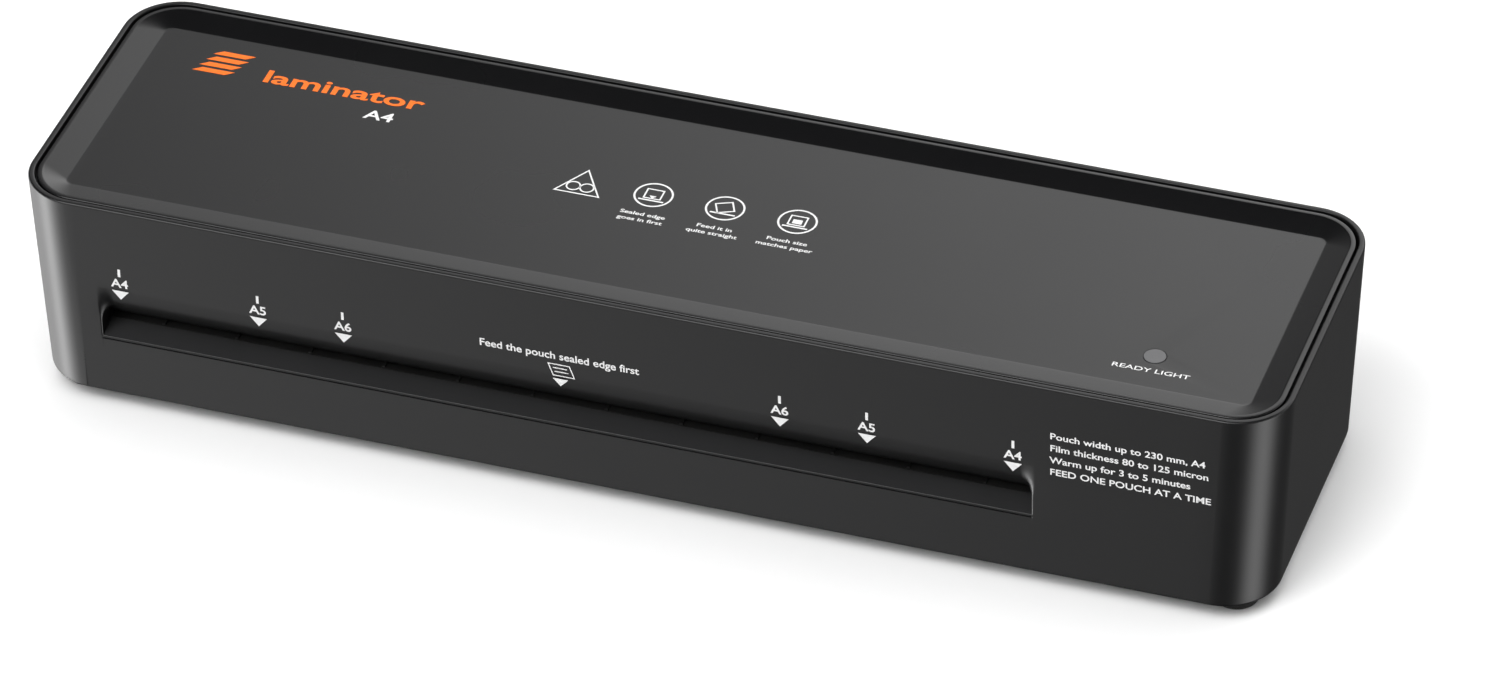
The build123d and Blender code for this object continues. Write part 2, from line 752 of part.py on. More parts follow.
def pressure_spring(middle):
    low = upper_z + block_height / 2 + spring_wire + 0.05
    height = spring_seat_height - spring_wire - 0.05 - low
    path = Helix(height / spring_turns, height, spring_radius)
    profile = Plane(path @ 0, z_dir=path % 0) * Circle(spring_wire)
    return Pos(middle, roller_y, low) * sweep(profile, path, is_frenet=True)


# ---- gears ----

def involute(radius, base_radius):
    """Angle that an involute has swung through at a radius."""
    beyond = (radius / base_radius) ** 2 - 1
    return math.sqrt(max(beyond, 0)) - math.acos(min(base_radius / radius, 1))


def gear_outline(teeth, turn):
    """Involute teeth, the first one centred on the direction turn (degrees)."""
    pitch_r = gear_module * teeth / 2
    base_r = pitch_r * math.cos(math.radians(pressure_angle))
    tip_r = pitch_r + gear_module
    root_r = pitch_r - 1.25 * gear_module
    half_pitch = (math.pi * gear_module / 2 - tooth_thinning) / (2 * pitch_r)
    half_base = half_pitch + involute(pitch_r, base_r)
    flank_low = max(base_r, root_r)
    flank = []
    for step in range(flank_steps + 1):
        r = flank_low + (tip_r - flank_low) * step / flank_steps
        flank.append((r, half_base - involute(r, base_r)))
    if root_r < base_r:
        flank.insert(0, (root_r, half_base))
    points = []
    for tooth in range(teeth):
        middle = math.radians(turn) + 2 * math.pi * tooth / teeth
        rising = [(r, middle - half) for r, half in flank]
        falling = [(r, middle + half) for r, half in reversed(flank)]
        points += [(r * math.cos(a), r * math.sin(a)) for r, a in rising + falling]
    return points


def spur_gear(axis, teeth, turn, bore):
    points = [(axis[0] + y, axis[1] + z) for y, z in gear_outline(teeth, turn)]
    gear = prism_x(points, gear_left, gear_right)
    return gear - rod_x(axis, bore, gear_left - 1, gear_right + 1)


def mesh_turn(turn, teeth, direction, next_teeth):
    """Turn of the next gear that puts its gap on this gear's tooth, along a direction."""
    offset = (turn - direction) * teeth / next_teeth
    return direction + 180 - offset + 180 / next_teeth


lower_turn = 90.0
upper_turn = mesh_turn(lower_turn, roller_teeth, 90.0, roller_teeth)
idler_turn = mesh_turn(lower_turn, roller_teeth, idler_direction, idler_teeth)
pinion_turn = mesh_turn(idler_turn, idler_teeth, pinion_direction, pinion_teeth)


def idler_stud():
    stud = rod_x(idler_axis, stud_radius, right_face, gear_right + 1.8)
    shoulder = (right_face + frame_thickness, gear_left - 0.4)
    return stud + rod_x(idler_axis, stud_radius + 1.5, *shoulder)


def idler_clip():
    low = gear_right + 0.4
    return tube_x(idler_axis, stud_radius, stud_radius + 1.6, low, low + clip_thickness)


# ---- heaters ----

def shoe_tab(axis, start, end, gap, low, high):
    swing = math.degrees(gap / shoe_inner_radius)
    inner, outer = shoe_inner_radius - gap, shoe_outer_radius + gap
    return sector_x(axis, inner, outer, start - swing, end + swing, low, high)


def heater_shoe(axis, start, end, tabs):
    """Curved aluminium heater plate, hung in the side frames by end tabs."""
    shoe = sector_x(axis, shoe_inner_radius, shoe_outer_radius, start, end, shoe_left, shoe_right)
    for low, high in tabs:
        shoe += shoe_tab(axis, low, high, 0, left_face - frame_thickness - shoe_tab_reach, shoe_left + 1)
        shoe += shoe_tab(axis, low, high, 0, shoe_right - 1, right_face + frame_thickness + shoe_tab_reach)
    return shoe


def heater_element(axis, start, end):
    outer = shoe_outer_radius + element_thickness
    return sector_x(axis, shoe_outer_radius, outer, start, end, slot_left + 6, slot_right - 22)


def heat_shield():
    """Folded sheet over the upper heater: two legs hang down, and two ears rest on each side frame."""
    low_y, high_y = roller_y - shield_reach, roller_y + shield_reach
    span = (left_face + 4.5, right_face - 24.0)
    top = (shield_top - shield_thickness, shield_top)
    sheet = block(span, (low_y, high_y), top)
    for y in (low_y, high_y - shield_thickness):
        sheet += block(span, (y, y + shield_thickness), (shield_low, shield_top))
    for y in (low_y, high_y - shield_foot):
        sheet += block((left_face, span[0] + 1), (y, y + shield_foot), top)
    return sheet


def thermostat_saddle():
    shoe_top = upper_z + shoe_outer_radius
    z = (shoe_top - 1.2, shoe_top + saddle_thickness)
    saddle = block((thermostat_x - 8, thermostat_x + 8), (roller_y - 5, roller_y + 5), z)
    return saddle - rod_x(upper_axis, shoe_outer_radius, thermostat_x - 9, thermostat_x + 9)


def thermostat():
    low = upper_z + shoe_outer_radius + saddle_thickness
    body = rod_z((thermostat_x, roller_y), thermostat_radius, low, low + thermostat_height)
    for side in (-1, 1):
        x = thermostat_x + side * 3.5
        body += block((x - 0.4, x + 0.4), (roller_y - 1.6, roller_y + 1.6), (low + 3.5, low + 7.0))
    return body


def thermal_fuse():
    fuse = rod_x(fuse_axis, fuse_radius, *fuse_span)
    return fuse + rod_x(fuse_axis, fuse_lead_radius, fuse_span[0] - 8, fuse_span[1] + 8)


def fuse_clip():
    y = (fuse_axis[0] - 3.4, fuse_axis[0] + 2.6)
    z = (fuse_axis[1] - 2.6, fuse_axis[1] + 2.6)
    clip = block(fuse_clip_span, y, z)
    return clip - rod_x(upper_axis, shoe_outer_radius, *fuse_span) - rod_x(fuse_axis, fuse_radius, *fuse_span)


# ---- guides ----

mouth_back = front_at(lip_height) + sill_depth + 0.3


def guide_lug(low_x, name, z):
    y = roller_y + guide_screw_places[name][0]
    return block((low_x, low_x + guide_lug_length), (y - guide_lug_half, y + guide_lug_half), z)


def with_lugs(sheet, name, z):
    """Adds the two end lugs that a guide is screwed by."""
    y, height = guide_screw_places[name]
    for low_x in (left_face, right_face - guide_lug_length):
        sheet += guide_lug(low_x, name, z)
        sheet -= rod_x((roller_y + y, height), screw_radius, low_x - 1, low_x + guide_lug_length + 1)
    return sheet


def rib_places():
    count = int(slot_width / guide_rib_pitch)
    first = slot_centre_x - guide_rib_pitch * (count - 1) / 2
    return [first + guide_rib_pitch * step for step in range(count)]


def ribs(points, height):
    """Guide ribs along a sloping line between two (y, z) points; height is signed."""
    start, end = points
    outline = [start, end, (end[0], end[1] + height), (start[0], start[1] + height)]
    return [prism_x(outline, x - guide_rib_width / 2, x + guide_rib_width / 2) for x in rib_places()]


def sheet_section(start, end, thickness):
    """Section of a guide: a line between two (y, z) points with a thickness under or over it."""
    return [start, end, (end[0], end[1] + thickness), (start[0], start[1] + thickness)]


def entry_guide_lower():
    start = (mouth_back, lip_height + sill_rise - 0.1)
    end = (roller_y - guide_near, nip_height - guide_step)
    guide = prism_x(sheet_section(start, end, -guide_thickness), left_face, right_face)
    for rib in ribs((start, end), guide_rib_height):
        guide += rib
    return with_lugs(guide, "entry_lower", (16.5, 23.2))


def entry_guide_upper():
    start = (curl_point(roll_radius - wall, roll_angle)[0] + 0.6, nip_height - 0.9)
    end = (roller_y - guide_near, nip_height + guide_flare)
    guide = prism_x(sheet_section(start, end, guide_thickness), left_face, right_face)
    for rib in ribs((start, end), -guide_rib_height):
        guide += rib
    return with_lugs(guide, "entry_upper", (28.5, 36.5))


def exit_guide_lower():
    """Lower exit guide; its rounded lip passes through the rear wall and carries the pouch out."""
    start = (roller_y + guide_near, nip_height - guide_step)
    knee = (frame_rear, exit_top)
    guide = prism_x(sheet_section(start, knee, -guide_thickness), left_face, right_face)
    lip_end = overall_depth / 2
    tongue_z = (exit_top - exit_lip_thickness, exit_top)
    tongue = block((slot_left + 0.4, slot_right - 0.4), (frame_rear - 1.0, lip_end), tongue_z)
    tip = tongue.edges().filter_by(Axis.X).group_by(Axis.Y)[-1]
    guide += fillet(tip, exit_lip_round)
    return with_lugs(guide, "exit_lower", (16.5, 24.8))


def exit_guide_upper():
    start = (roller_y + guide_near, nip_height + guide_flare)
    end = (frame_rear + 1.0, nip_height + 3.1)
    guide = prism_x(sheet_section(start, end, guide_thickness), left_face, right_face)
    return with_lugs(guide, "exit_upper", (30.5, 38.0))


# ---- drive ----

def motor_bracket():
    plate = block((bracket_left, bracket_right), bracket_span,
                  (base_top + bracket_foot_gap, frame_top - bracket_top_gap))
    plate -= rod_x(pinion_axis, 4.0, bracket_left - 1, bracket_right + 1)
    for spot in motor_ear_spots:
        plate -= rod_x(spot, screw_radius, bracket_left - 1, bracket_right + 1)
    return plate


def motor_gearbox():
    case = rod_x(motor_axis, motor_radius, bracket_right, gearbox_right)
    for spot in motor_ear_spots:
        case += rod_x(spot, motor_ear_radius, bracket_right, bracket_right + motor_ear_thickness)
        case -= rod_x(spot, screw_radius, bracket_right - 1, bracket_right + 3)
    return case - rod_x(pinion_axis, shaft_radius + running_clearance, bracket_right - 1, bracket_right + 5)


def motor_can():
    can = rod_x(motor_axis, motor_radius, gearbox_right, motor_right)
    can = fillet(can.edges().group_by(Axis.X)[-1], 1.5)
    tab_y = motor_axis[0] + motor_radius
    tab_z = (motor_axis[1] - 6, motor_axis[1] + 6)
    return can + block((gearbox_right + 3, gearbox_right + 9), (tab_y - 2, tab_y + 2), tab_z)


def motor_shaft():
    return rod_x(pinion_axis, shaft_radius, gear_left - 0.5, bracket_right + 4.5)


def motor_standoffs():
    solids = []
    for spot in standoff_spots:
        post = rod_x(spot, standoff_radius, right_face + frame_thickness, bracket_left)
        solids.append(post - rod_x(spot, screw_radius, right_face, bracket_left - 2))
    return group(solids)


# ---- control board ----

def control_board():
    """Upright board beside the motor; its parts face the middle of the machine."""
    board = block((board_left, board_right), board_span, board_heights)
    for spot in board_screw_spots:
        board -= rod_x(spot, screw_radius, board_left - 1, board_right + 1)
    return board


def filter_capacitors():
    large = rod_x((8.0, 31.0), 3.2, board_left - 11, board_left)
    small = rod_x((15.5, 31.0), 2.5, board_left - 8, board_left)
    return group([large, small])


def heater_relay():
    relay = block((board_left - 9, board_left), (8.5, 19.0), (12.0, 24.0))
    return fillet(relay.edges().filter_by(Axis.X), 0.6)


def terminal_blocks():
    solids = []
    for step in range(3):
        low = 4.0 + 5.2 * step
        clamp = block((board_left - 8, board_left), (low, low + 5.0), (37.0, 44.0))
        wire_hole = block((board_left - 9, board_left - 2), (low + 1.2, low + 3.8), (38.5, 41.5))
        solids.append(clamp - wire_hole)
    return group(solids)


# ---- all the pieces ----

pieces = {
    "housing_shell": housing_shell(),
    "top_panel": top_panel(),
    "base_plate": base_plate(),
    "rubber_feet": group(rubber_foot(spot) for spot in foot_spots),
    "base_screws": group(screw_z(spot, foot_height + base_screw_sink, 16.0) for spot in base_screw_spots),
    "indicator_lens": indicator_lens(),
    "indicator_led": indicator_led(),
    "indicator_board": indicator_board(),
    "power_inlet": power_inlet(),
    "inlet_pins": group(inlet_pin(side) for side in (-1, 1)),
    "switch_body": switch_body(),
    "switch_rocker": switch_rocker(),
    "switch_terminals": group(switch_terminal(side) for side in (-1, 1)),
    "left_side_frame": left_side_frame(),
    "right_side_frame": right_side_frame(),
    "front_tie_bar": tie_bar(tie_bar_spots[0]),
    "rear_tie_bar": tie_bar(tie_bar_spots[1]),
    "tie_bar_screws": group(side_screws(tie_bar_spots, 7.0)),
    "frame_base_screws": frame_base_screws(),
    "guide_screws": group(side_screws(guide_spots, 6.0)),
    "lower_bushings": group([lower_bushing(left_face, -1), lower_bushing(right_face, 1)]),
    "upper_bearing_blocks": group([bearing_block(left_face, -1), bearing_block(right_face, 1)]),
    "pressure_springs": group(pressure_spring(x) for x in spring_spots),
    "lower_roller_core": roller_core(lower_axis),
    "lower_roller_sleeve": roller_sleeve(lower_axis),
    "lower_roller_gear": spur_gear(lower_axis, roller_teeth, lower_turn, journal_radius),
    "lower_roller_clips": roller_clips(lower_axis),
    "upper_roller_core": roller_core(upper_axis),
    "upper_roller_sleeve": roller_sleeve(upper_axis),
    "upper_roller_gear": spur_gear(upper_axis, roller_teeth, upper_turn, journal_radius),
    "upper_roller_clips": roller_clips(upper_axis),
    "idler_gear": spur_gear(idler_axis, idler_teeth, idler_turn, stud_radius + running_clearance),
    "idler_stud": idler_stud(),
    "idler_clip": idler_clip(),
    "motor_pinion": spur_gear(pinion_axis, pinion_teeth, pinion_turn, shaft_radius),
    "motor_shaft": motor_shaft(),
    "motor_gearbox": motor_gearbox(),
    "motor_can": motor_can(),
    "motor_bracket": motor_bracket(),
    "motor_screws": group(screw_x(spot, motor_screw_seat, 4.0, -1) for spot in motor_ear_spots),
    "motor_standoffs": motor_standoffs(),
    "standoff_screws": group(screw_x(spot, right_face, 6.0, 1) for spot in standoff_spots),
    "lower_heater_shoe": heater_shoe(lower_axis, *lower_shoe_arc, lower_tabs),
    "upper_heater_shoe": heater_shoe(upper_axis, *upper_shoe_arc, upper_tabs),
    "lower_heater_element": heater_element(lower_axis, *lower_element_arc),
    "upper_heater_element": heater_element(upper_axis, *upper_element_arc),
    "heat_shield": heat_shield(),
    "thermostat": thermostat(),
    "thermostat_saddle": thermostat_saddle(),
    "thermal_fuse": thermal_fuse(),
    "fuse_clip": fuse_clip(),
    "entry_guide_lower": entry_guide_lower(),
    "entry_guide_upper": entry_guide_upper(),
    "exit_guide_lower": exit_guide_lower(),
    "exit_guide_upper": exit_guide_upper(),
    "control_board": control_board(),
    "board_screws": group(screw_x(spot, board_left, 5.5, 1) for spot in board_screw_spots),
    "filter_capacitors": filter_capacitors(),
    "heater_relay": heater_relay(),
    "terminal_blocks": terminal_blocks(),
}

os.makedirs("parts", exist_ok=True)
for name, shape in pieces.items():
    export_step(shape, f"parts/{name}.step")
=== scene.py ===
import json
import math

import bmesh
import bpy
from mathutils import Matrix, Vector


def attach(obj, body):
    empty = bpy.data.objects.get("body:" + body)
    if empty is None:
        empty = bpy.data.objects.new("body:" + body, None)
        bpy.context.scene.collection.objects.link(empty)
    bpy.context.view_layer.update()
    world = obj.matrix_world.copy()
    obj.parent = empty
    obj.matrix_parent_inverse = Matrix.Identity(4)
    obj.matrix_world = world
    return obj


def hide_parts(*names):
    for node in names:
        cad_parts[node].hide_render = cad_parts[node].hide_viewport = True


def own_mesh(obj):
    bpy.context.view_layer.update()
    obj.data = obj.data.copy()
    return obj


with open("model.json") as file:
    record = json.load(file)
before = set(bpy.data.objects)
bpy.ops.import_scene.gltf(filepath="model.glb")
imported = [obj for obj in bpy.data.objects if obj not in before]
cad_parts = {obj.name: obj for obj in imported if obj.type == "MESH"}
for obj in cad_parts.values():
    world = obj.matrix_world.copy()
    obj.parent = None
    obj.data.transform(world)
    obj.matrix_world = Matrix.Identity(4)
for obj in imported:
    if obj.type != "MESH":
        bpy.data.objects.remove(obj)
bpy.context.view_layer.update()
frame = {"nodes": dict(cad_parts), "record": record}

# Pouch laminator. Sizes below are millimetres; meshes are written in metres.
MM = 0.001

# ---- casing sizes, as in the frame ----
WIDTH = 321.0
TOP = 61.0
FOOT = 4.1
FRONT = -47.5
REAR = 42.0
MIDDLE = (FRONT + REAR) / 2
SIDE_DRAFT = 2.4
FACE_DRAFT = 0.95
CORNER = 14.3
WALL = 2.2
RIM = 1.6
RIM_ROUND = 0.55
BASE_ROUND = 1.0
LEDGE = 57.2
PANEL_INSET = 2.2
PANEL_TOP = 60.8
BEAD = 1.5
FLAT_INSET = 10.0
FLAT_CORNER = 2.0
FLAT_TOP = 59.2
LENS = (123.7, -25.4)
LENS_RADIUS = 2.75

# ---- feed mouth, exit slot and rear controls ----
SLOT_LEFT = -138.75
SLOT_RIGHT = 99.75
LIP = 21.8
LIP_ROUND = 0.32
SILL_PLAIN = 22.3
SILL_DEPTH = 6.0
SILL_TOP = 23.4
SILL_UNDER = 21.6
ROLL_TOP = 38.7
ROLL_RADIUS = 17.0
ROLL_ANGLE = math.radians(56.0)
ROLL_LOW = ROLL_TOP - ROLL_RADIUS * math.sin(ROLL_ANGLE)
SOFT_FROM = 26.5
SOFT_FULL = 31.5
SOFT_WIDTH = 4.0
SOFT_IN = 3.6
CHEEK_ROUND = 0.5
EXIT_LOW, EXIT_HIGH = 22.8, 32.2
INLET_X, INLET_Z = (122.2, 133.8), (11.0, 31.0)
SWITCH_X, SWITCH_Z = (123.2, 132.8), (36.7, 52.3)

INK_LIFT = 0.05

# ---- how finely the casing is drawn: points round a corner, columns across a mouth end, ring and column places ----
CORNER_STEPS = 14
END_STEPS = 8
FRONT_INSIDE = 24
FRONT_ENDS = (-144.2, 140.0)
ROLL_STEPS = 16
SMOOTH_ANGLE = 42.0


# ---- small tools ----

def linear(code):
    """A colour from its sRGB hex value."""
    parts = [int(code[i:i + 2], 16) / 255 for i in (0, 2, 4)]
    return tuple(c / 12.92 if c <= 0.04045 else ((c + 0.055) / 1.055) ** 2.4 for c in parts) + (1.0,)


def add(tree, kind, inputs=None, **settings):
    """One node, with its settings, and its sockets set or linked."""
    node = tree.nodes.new(kind)
    for key, value in settings.items():
        setattr(node, key, value)
    for name, value in (inputs or {}).items():
        socket = node.inputs[name]
        if isinstance(value, bpy.types.NodeSocket):
            tree.links.new(value, socket)
        else:
            socket.default_value = value
    return node


def piece(name, mesh, body, material, replaced=(), others=()):
    """A finished mesh that rides on a body and takes its finish from a slot."""
    mesh.name = name
    obj = bpy.data.objects.new(name, mesh)
    bpy.context.scene.collection.objects.link(obj)
    if mesh.materials:
        mesh.materials.clear()
    for finish in [material] + list(others):
        mesh.materials.append(finish)
    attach(obj, body)
    if replaced:
        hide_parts(*replaced)
    return obj


def mesh_from(bm, smooth_angle=40.0):
    """A mesh in metres from a bmesh in millimetres, smooth except at its edges."""
    bmesh.ops.recalc_face_normals(bm, faces=bm.faces)
    bmesh.ops.scale(bm, vec=(MM, MM, MM), verts=bm.verts)
    mesh = bpy.data.meshes.new("work")
    bm.to_mesh(mesh)
    bm.free()
    mesh.shade_smooth()
    mesh.set_sharp_from_angle(angle=math.radians(smooth_angle))
    return mesh


def weighted(mesh):
    """The same mesh with its wide faces kept flat to the eye."""
    obj = bpy.data.objects.new("work", mesh)
    bpy.context.scene.collection.objects.link(obj)
    modifier = obj.modifiers.new("flat faces", "WEIGHTED_NORMAL")
    modifier.keep_sharp = True
    graph = bpy.context.evaluated_depsgraph_get()
    result = bpy.data.meshes.new_from_object(obj.evaluated_get(graph))
    bpy.data.objects.remove(obj)
    return result


# ---- materials ----

def start(name):
    material = bpy.data.materials.new(name)
    material.use_nodes = True
    tree = material.node_tree
    tree.nodes.clear()
    coordinates = add(tree, "ShaderNodeTexCoord").outputs["Object"]
    return material, tree, coordinates


def end(tree, **sockets):
    shader = add(tree, "ShaderNodeBsdfPrincipled", {key.replace("_", " "): value for key, value in sockets.items()})
    add(tree, "ShaderNodeOutputMaterial", {"Surface": shader.outputs["BSDF"]})


def grain(tree, where, size, detail=2.0, stretch=(1, 1, 1)):
    """Noise whose features are about size millimetres across."""
    scale = 1 / (size * MM)
    turned = add(tree, "ShaderNodeMapping", {"Vector": where, "Scale": stretch}).outputs["Vector"]
    noise = add(tree, "ShaderNodeTexNoise", {"Vector": turned, "Scale": scale, "Detail": detail})
    return noise.outputs["Fac"]


def between(tree, factor, low, high):
    """A colour that runs between two hex values."""
    mix = add(tree, "ShaderNodeMix", {"Factor": factor}, data_type="RGBA")
    mix.inputs[6].default_value = linear(low)
    mix.inputs[7].default_value = linear(high)
    return mix.outputs[2]


def ranged(tree, factor, low, high):
    node = add(tree, "ShaderNodeMapRange", {"Value": factor, "To Min": low, "To Max": high})
    return node.outputs["Result"]


def relief(tree, height, depth):
    """Bump whose highest point stands depth millimetres over its lowest."""
    return add(tree, "ShaderNodeBump", {"Height": height, "Distance": depth * MM, "Strength": 1.0}).outputs["Normal"]


def moulded(name, low, high, rough, size, depth, patch=18.0, stretch=(1, 1, 1), **extra):
    """A moulded, cast or drawn surface: faint patches of colour, patches of polish and a fine grain."""
    material, tree, where = start(name)
    patches = grain(tree, where, patch)
    fine = grain(tree, where, size, 3.0, stretch)
    end(tree, Base_Color=between(tree, patches, low, high), Roughness=ranged(tree, patches, *rough),
        Normal=relief(tree, fine, depth), **extra)
    return material


def brushed(name, low, high, rough, stretch, size=0.35, depth=0.01, **extra):
    """A rolled, drawn or turned metal: streaks that run one way, in tint, in polish and in relief."""
    material, tree, where = start(name)
    streaks = grain(tree, where, size, 4.0, stretch)
    patches = grain(tree, where, 9.0)
    end(tree, Base_Color=between(tree, streaks, low, high), Roughness=ranged(tree, patches, *rough),
        Normal=relief(tree, streaks, depth), Metallic=1.0, **extra)
    return material


def board_laminate():
    """FR4 board: green solder mask over copper tracks, which show as paler, slightly raised lines."""
    material, tree, where = start("fr4_solder_mask")
    turned = add(tree, "ShaderNodeMapping", {"Vector": where, "Rotation": (0, math.radians(90), 0)})
    tracks = add(tree, "ShaderNodeTexBrick", {"Vector": turned.outputs["Vector"], "Scale": 1 / (4.0 * MM),
                                              "Mortar Size": 0.09, "Color1": (0, 0, 0, 1), "Color2": (0, 0, 0, 1),
                                              "Mortar": (1, 1, 1, 1)}).outputs["Color"]
    colour = between(tree, tracks, "0B3D1E", "1C6A38")
    end(tree, Base_Color=colour, Roughness=0.32, Normal=relief(tree, tracks, 0.035), Specular_IOR_Level=0.5)
    return material


def glazed_panel():
    """Top panel: black ABS with a film-smooth lacquer, which mirrors the softboxes more than the casing does."""
    return moulded("satin_lacquered_abs", "0A0A0B", "0D0D0E", (0.25, 0.29), 0.5, 0.0012, patch=45.0,
                   Specular_IOR_Level=0.5)


MATERIALS = {
    # Injection-moulded ABS with a fine spark-eroded grain: neutral black, satin, soft broad highlights.
    "black_abs": moulded("moulded_satin_abs", "0B0B0C", "0E0E0F", (0.33, 0.37), 0.55, 0.003, patch=40.0),
    "panel_abs": glazed_panel(),
    # Compression-moulded rubber: dead matt with a dusty bloom.
    "foot_rubber": moulded("moulded_rubber", "111111", "1D1C1B", (0.82, 0.95), 0.6, 0.03, patch=3.0),
    # Zinc-plated steel screws: bright, with a faint yellow-blue cast in patches.
    "plated_screw": brushed("zinc_plated_steel", "B9BBBD", "D0CFC6", (0.22, 0.34), (1, 1, 1), 0.6),
    # Cold-rolled galvanised sheet: long rolling streaks along Y and mid grey patches.
    "frame_steel": brushed("galvanised_sheet", "9EA2A6", "C2C5C7", (0.30, 0.48), (1, 0.06, 1), 0.4),
    # Turned and ground bar: fine rings round the X axis.
    "core_steel": brushed("ground_steel_bar", "B4B6B8", "D6D7D8", (0.16, 0.26), (8, 1, 1), 0.9, 0.004),
    # Drawn spring wire: darker, with drawing marks.
    "spring_steel": brushed("drawn_spring_wire", "77797B", "A3A4A5", (0.28, 0.40), (1, 1, 4), 0.5),
    # Oil-filled sintered bronze: grainy, brown gold, dull.
    "bronze": moulded("sintered_bronze", "8A6437", "B0834B", (0.38, 0.52), 0.35, 0.02, patch=2.0, Metallic=1.0),
    # Ground silicone rubber: brick red, matt, with faint grinding marks round the roller.
    "silicone": moulded("ground_silicone_rubber", "8E2A1C", "A03424", (0.55, 0.66), 0.5, 0.006, patch=12.0,
                        stretch=(6, 1, 1)),
    # Moulded acetal: milky white, slightly waxy.
    "white_acetal": moulded("moulded_acetal", "DEDCD3", "E9E7DF", (0.30, 0.38), 0.5, 0.004, patch=8.0),
    # Glass-filled nylon: black with a faint grey fibre bloom.
    "black_nylon": moulded("glass_filled_nylon", "141414", "1F1F1E", (0.44, 0.58), 0.4, 0.012, patch=6.0,
                           stretch=(1, 0.3, 1)),
    # Extruded aluminium: long die lines along X.
    "aluminium_shoe": brushed("extruded_aluminium", "B9BBBD", "DCDDDE", (0.24, 0.36), (0.04, 1, 1), 0.5, 0.012),
    # Pressed mica sheet: pale brown with glinting flakes.
    "mica": moulded("pressed_mica_sheet", "8F8168", "B7A98C", (0.30, 0.62), 1.2, 0.03, patch=2.2),
    # Motor can: zinc-chromate finish, pale grey with a dull sheen.
    "motor_steel": moulded("passivated_motor_steel", "A7A69A", "BDBBAC", (0.34, 0.46), 0.8, 0.006, patch=5.0,
                           Metallic=1.0),
    "board_green": board_laminate(),
    # Polycarbonate window: smoky grey, glossy, lets a little light down to the lamp.
    "lens_clear": moulded("smoked_polycarbonate", "48484A", "525254", (0.18, 0.24), 0.8, 0.002, patch=2.0,
                          Transmission_Weight=0.25, IOR=1.585),
    # Lamp body: milky epoxy.
    "led_white": moulded("milky_epoxy", "DAD9D0", "E8E7DE", (0.22, 0.30), 0.5, 0.003, patch=1.5),
    # Rolled brass terminals.
    "contact_brass": brushed("rolled_brass", "B08D45", "D3B468", (0.24, 0.36), (1, 0.2, 1), 0.4),
    "relay_blue": moulded("glossy_relay_case", "14356F", "1A418A", (0.20, 0.28), 0.8, 0.003, patch=6.0),
    "capacitor_sleeve": moulded("shrunk_pvc_sleeve", "15151C", "20202B", (0.24, 0.36), 0.7, 0.01, patch=3.0),
    "terminal_green": moulded("moulded_terminal_green", "1E6A3A", "287C47", (0.36, 0.46), 0.5, 0.008, patch=4.0),
    "fuse_case": moulded("fired_ceramic", "CBC6B4", "DAD6C7", (0.44, 0.56), 0.4, 0.015, patch=2.0),
}


def ink(name, low, high):
    """Pad-printed ink: thin and slightly uneven, with a soft gloss."""
    return moulded(name, low, high, (0.50, 0.60), 0.3, 0.002, patch=1.0)


WHITE_INK = ink("white_pad_ink", "D4D4D4", "E4E4E4")
ORANGE_INK = ink("orange_pad_ink", "E8650F", "F2711A")


# ---- casing ----

def lean(z):
    share = (TOP - z) / (TOP - FOOT)
    return SIDE_DRAFT * share, FACE_DRAFT * share


def front_at(z):
    return FRONT + lean(z)[1]


def spread(low, high, count):
    return [low + (high - low) * i / count for i in range(count + 1)]


def corner_arc(inset, z, sign_x, sign_y, start_angle, radius, steps):
    """Points round one corner of the casing's outline."""
    side, face = lean(z)
    centre_x = sign_x * (WIDTH / 2 - side - inset - radius)
    centre_y = MIDDLE + sign_y * ((REAR - FRONT) / 2 - face - inset - radius)
    points = []
    for i in range(steps + 1):
        angle = math.radians(start_angle + 90.0 * i / steps)
        points.append((centre_x + radius * math.cos(angle), centre_y + radius * math.sin(angle)))
    return points


CORNERS = ((1, -1, -90), (1, 1, 0), (-1, 1, 90), (-1, -1, 180))


def rounded_loop(inset, z, radius):
    """Closed outline of the casing at a height, moved in by an inset."""
    loop = []
    for sign_x, sign_y, angle in CORNERS:
        loop += [(x, y, z) for x, y in corner_arc(inset, z, sign_x, sign_y, angle, radius, CORNER_STEPS)]
    return loop


def mouth_profile(z, inner):
    """How deep the wall stands at a height of the mouth, and its real height there."""
    if z >= ROLL_TOP:
        return 0.0, z
    if z >= ROLL_LOW - 1e-6:
        angle = math.asin(min(1.0, (ROLL_TOP - z) / ROLL_RADIUS))
        radius = ROLL_RADIUS - (WALL if inner else 0.0)
        return radius * (1 - math.cos(angle)), ROLL_TOP - radius * math.sin(angle)
    last = mouth_profile(ROLL_LOW, inner)
    if inner:
        table = [(18.0, 0.0, 18.0), (LIP, 0.0, 19.7), (SILL_PLAIN, SILL_DEPTH - WALL, SILL_UNDER), (ROLL_LOW, *last)]
    else:
        table = [(20.72, 0.0, 20.72), (20.84, 0.06, 20.80), (20.92, 0.34, 20.84), (21.18, 0.34, 21.14),
                 (21.26, 0.05, 21.20), (21.36, 0.0, 21.30), (LIP - LIP_ROUND, 0.0, LIP - LIP_ROUND),
                 (21.70, 0.09, 21.70), (21.77, 0.19, 21.77), (LIP, LIP_ROUND, LIP + 0.01),
                 (SILL_PLAIN, SILL_DEPTH, SILL_TOP), (ROLL_LOW, *last)]
    if z <= table[0][0]:
        return 0.0, z
    for (z0, d0, h0), (z1, d1, h1) in zip(table, table[1:]):
        if z <= z1:
            share = (z - z0) / (z1 - z0)
            return d0 + (d1 - d0) * share, h0 + (h1 - h0) * share
    return last


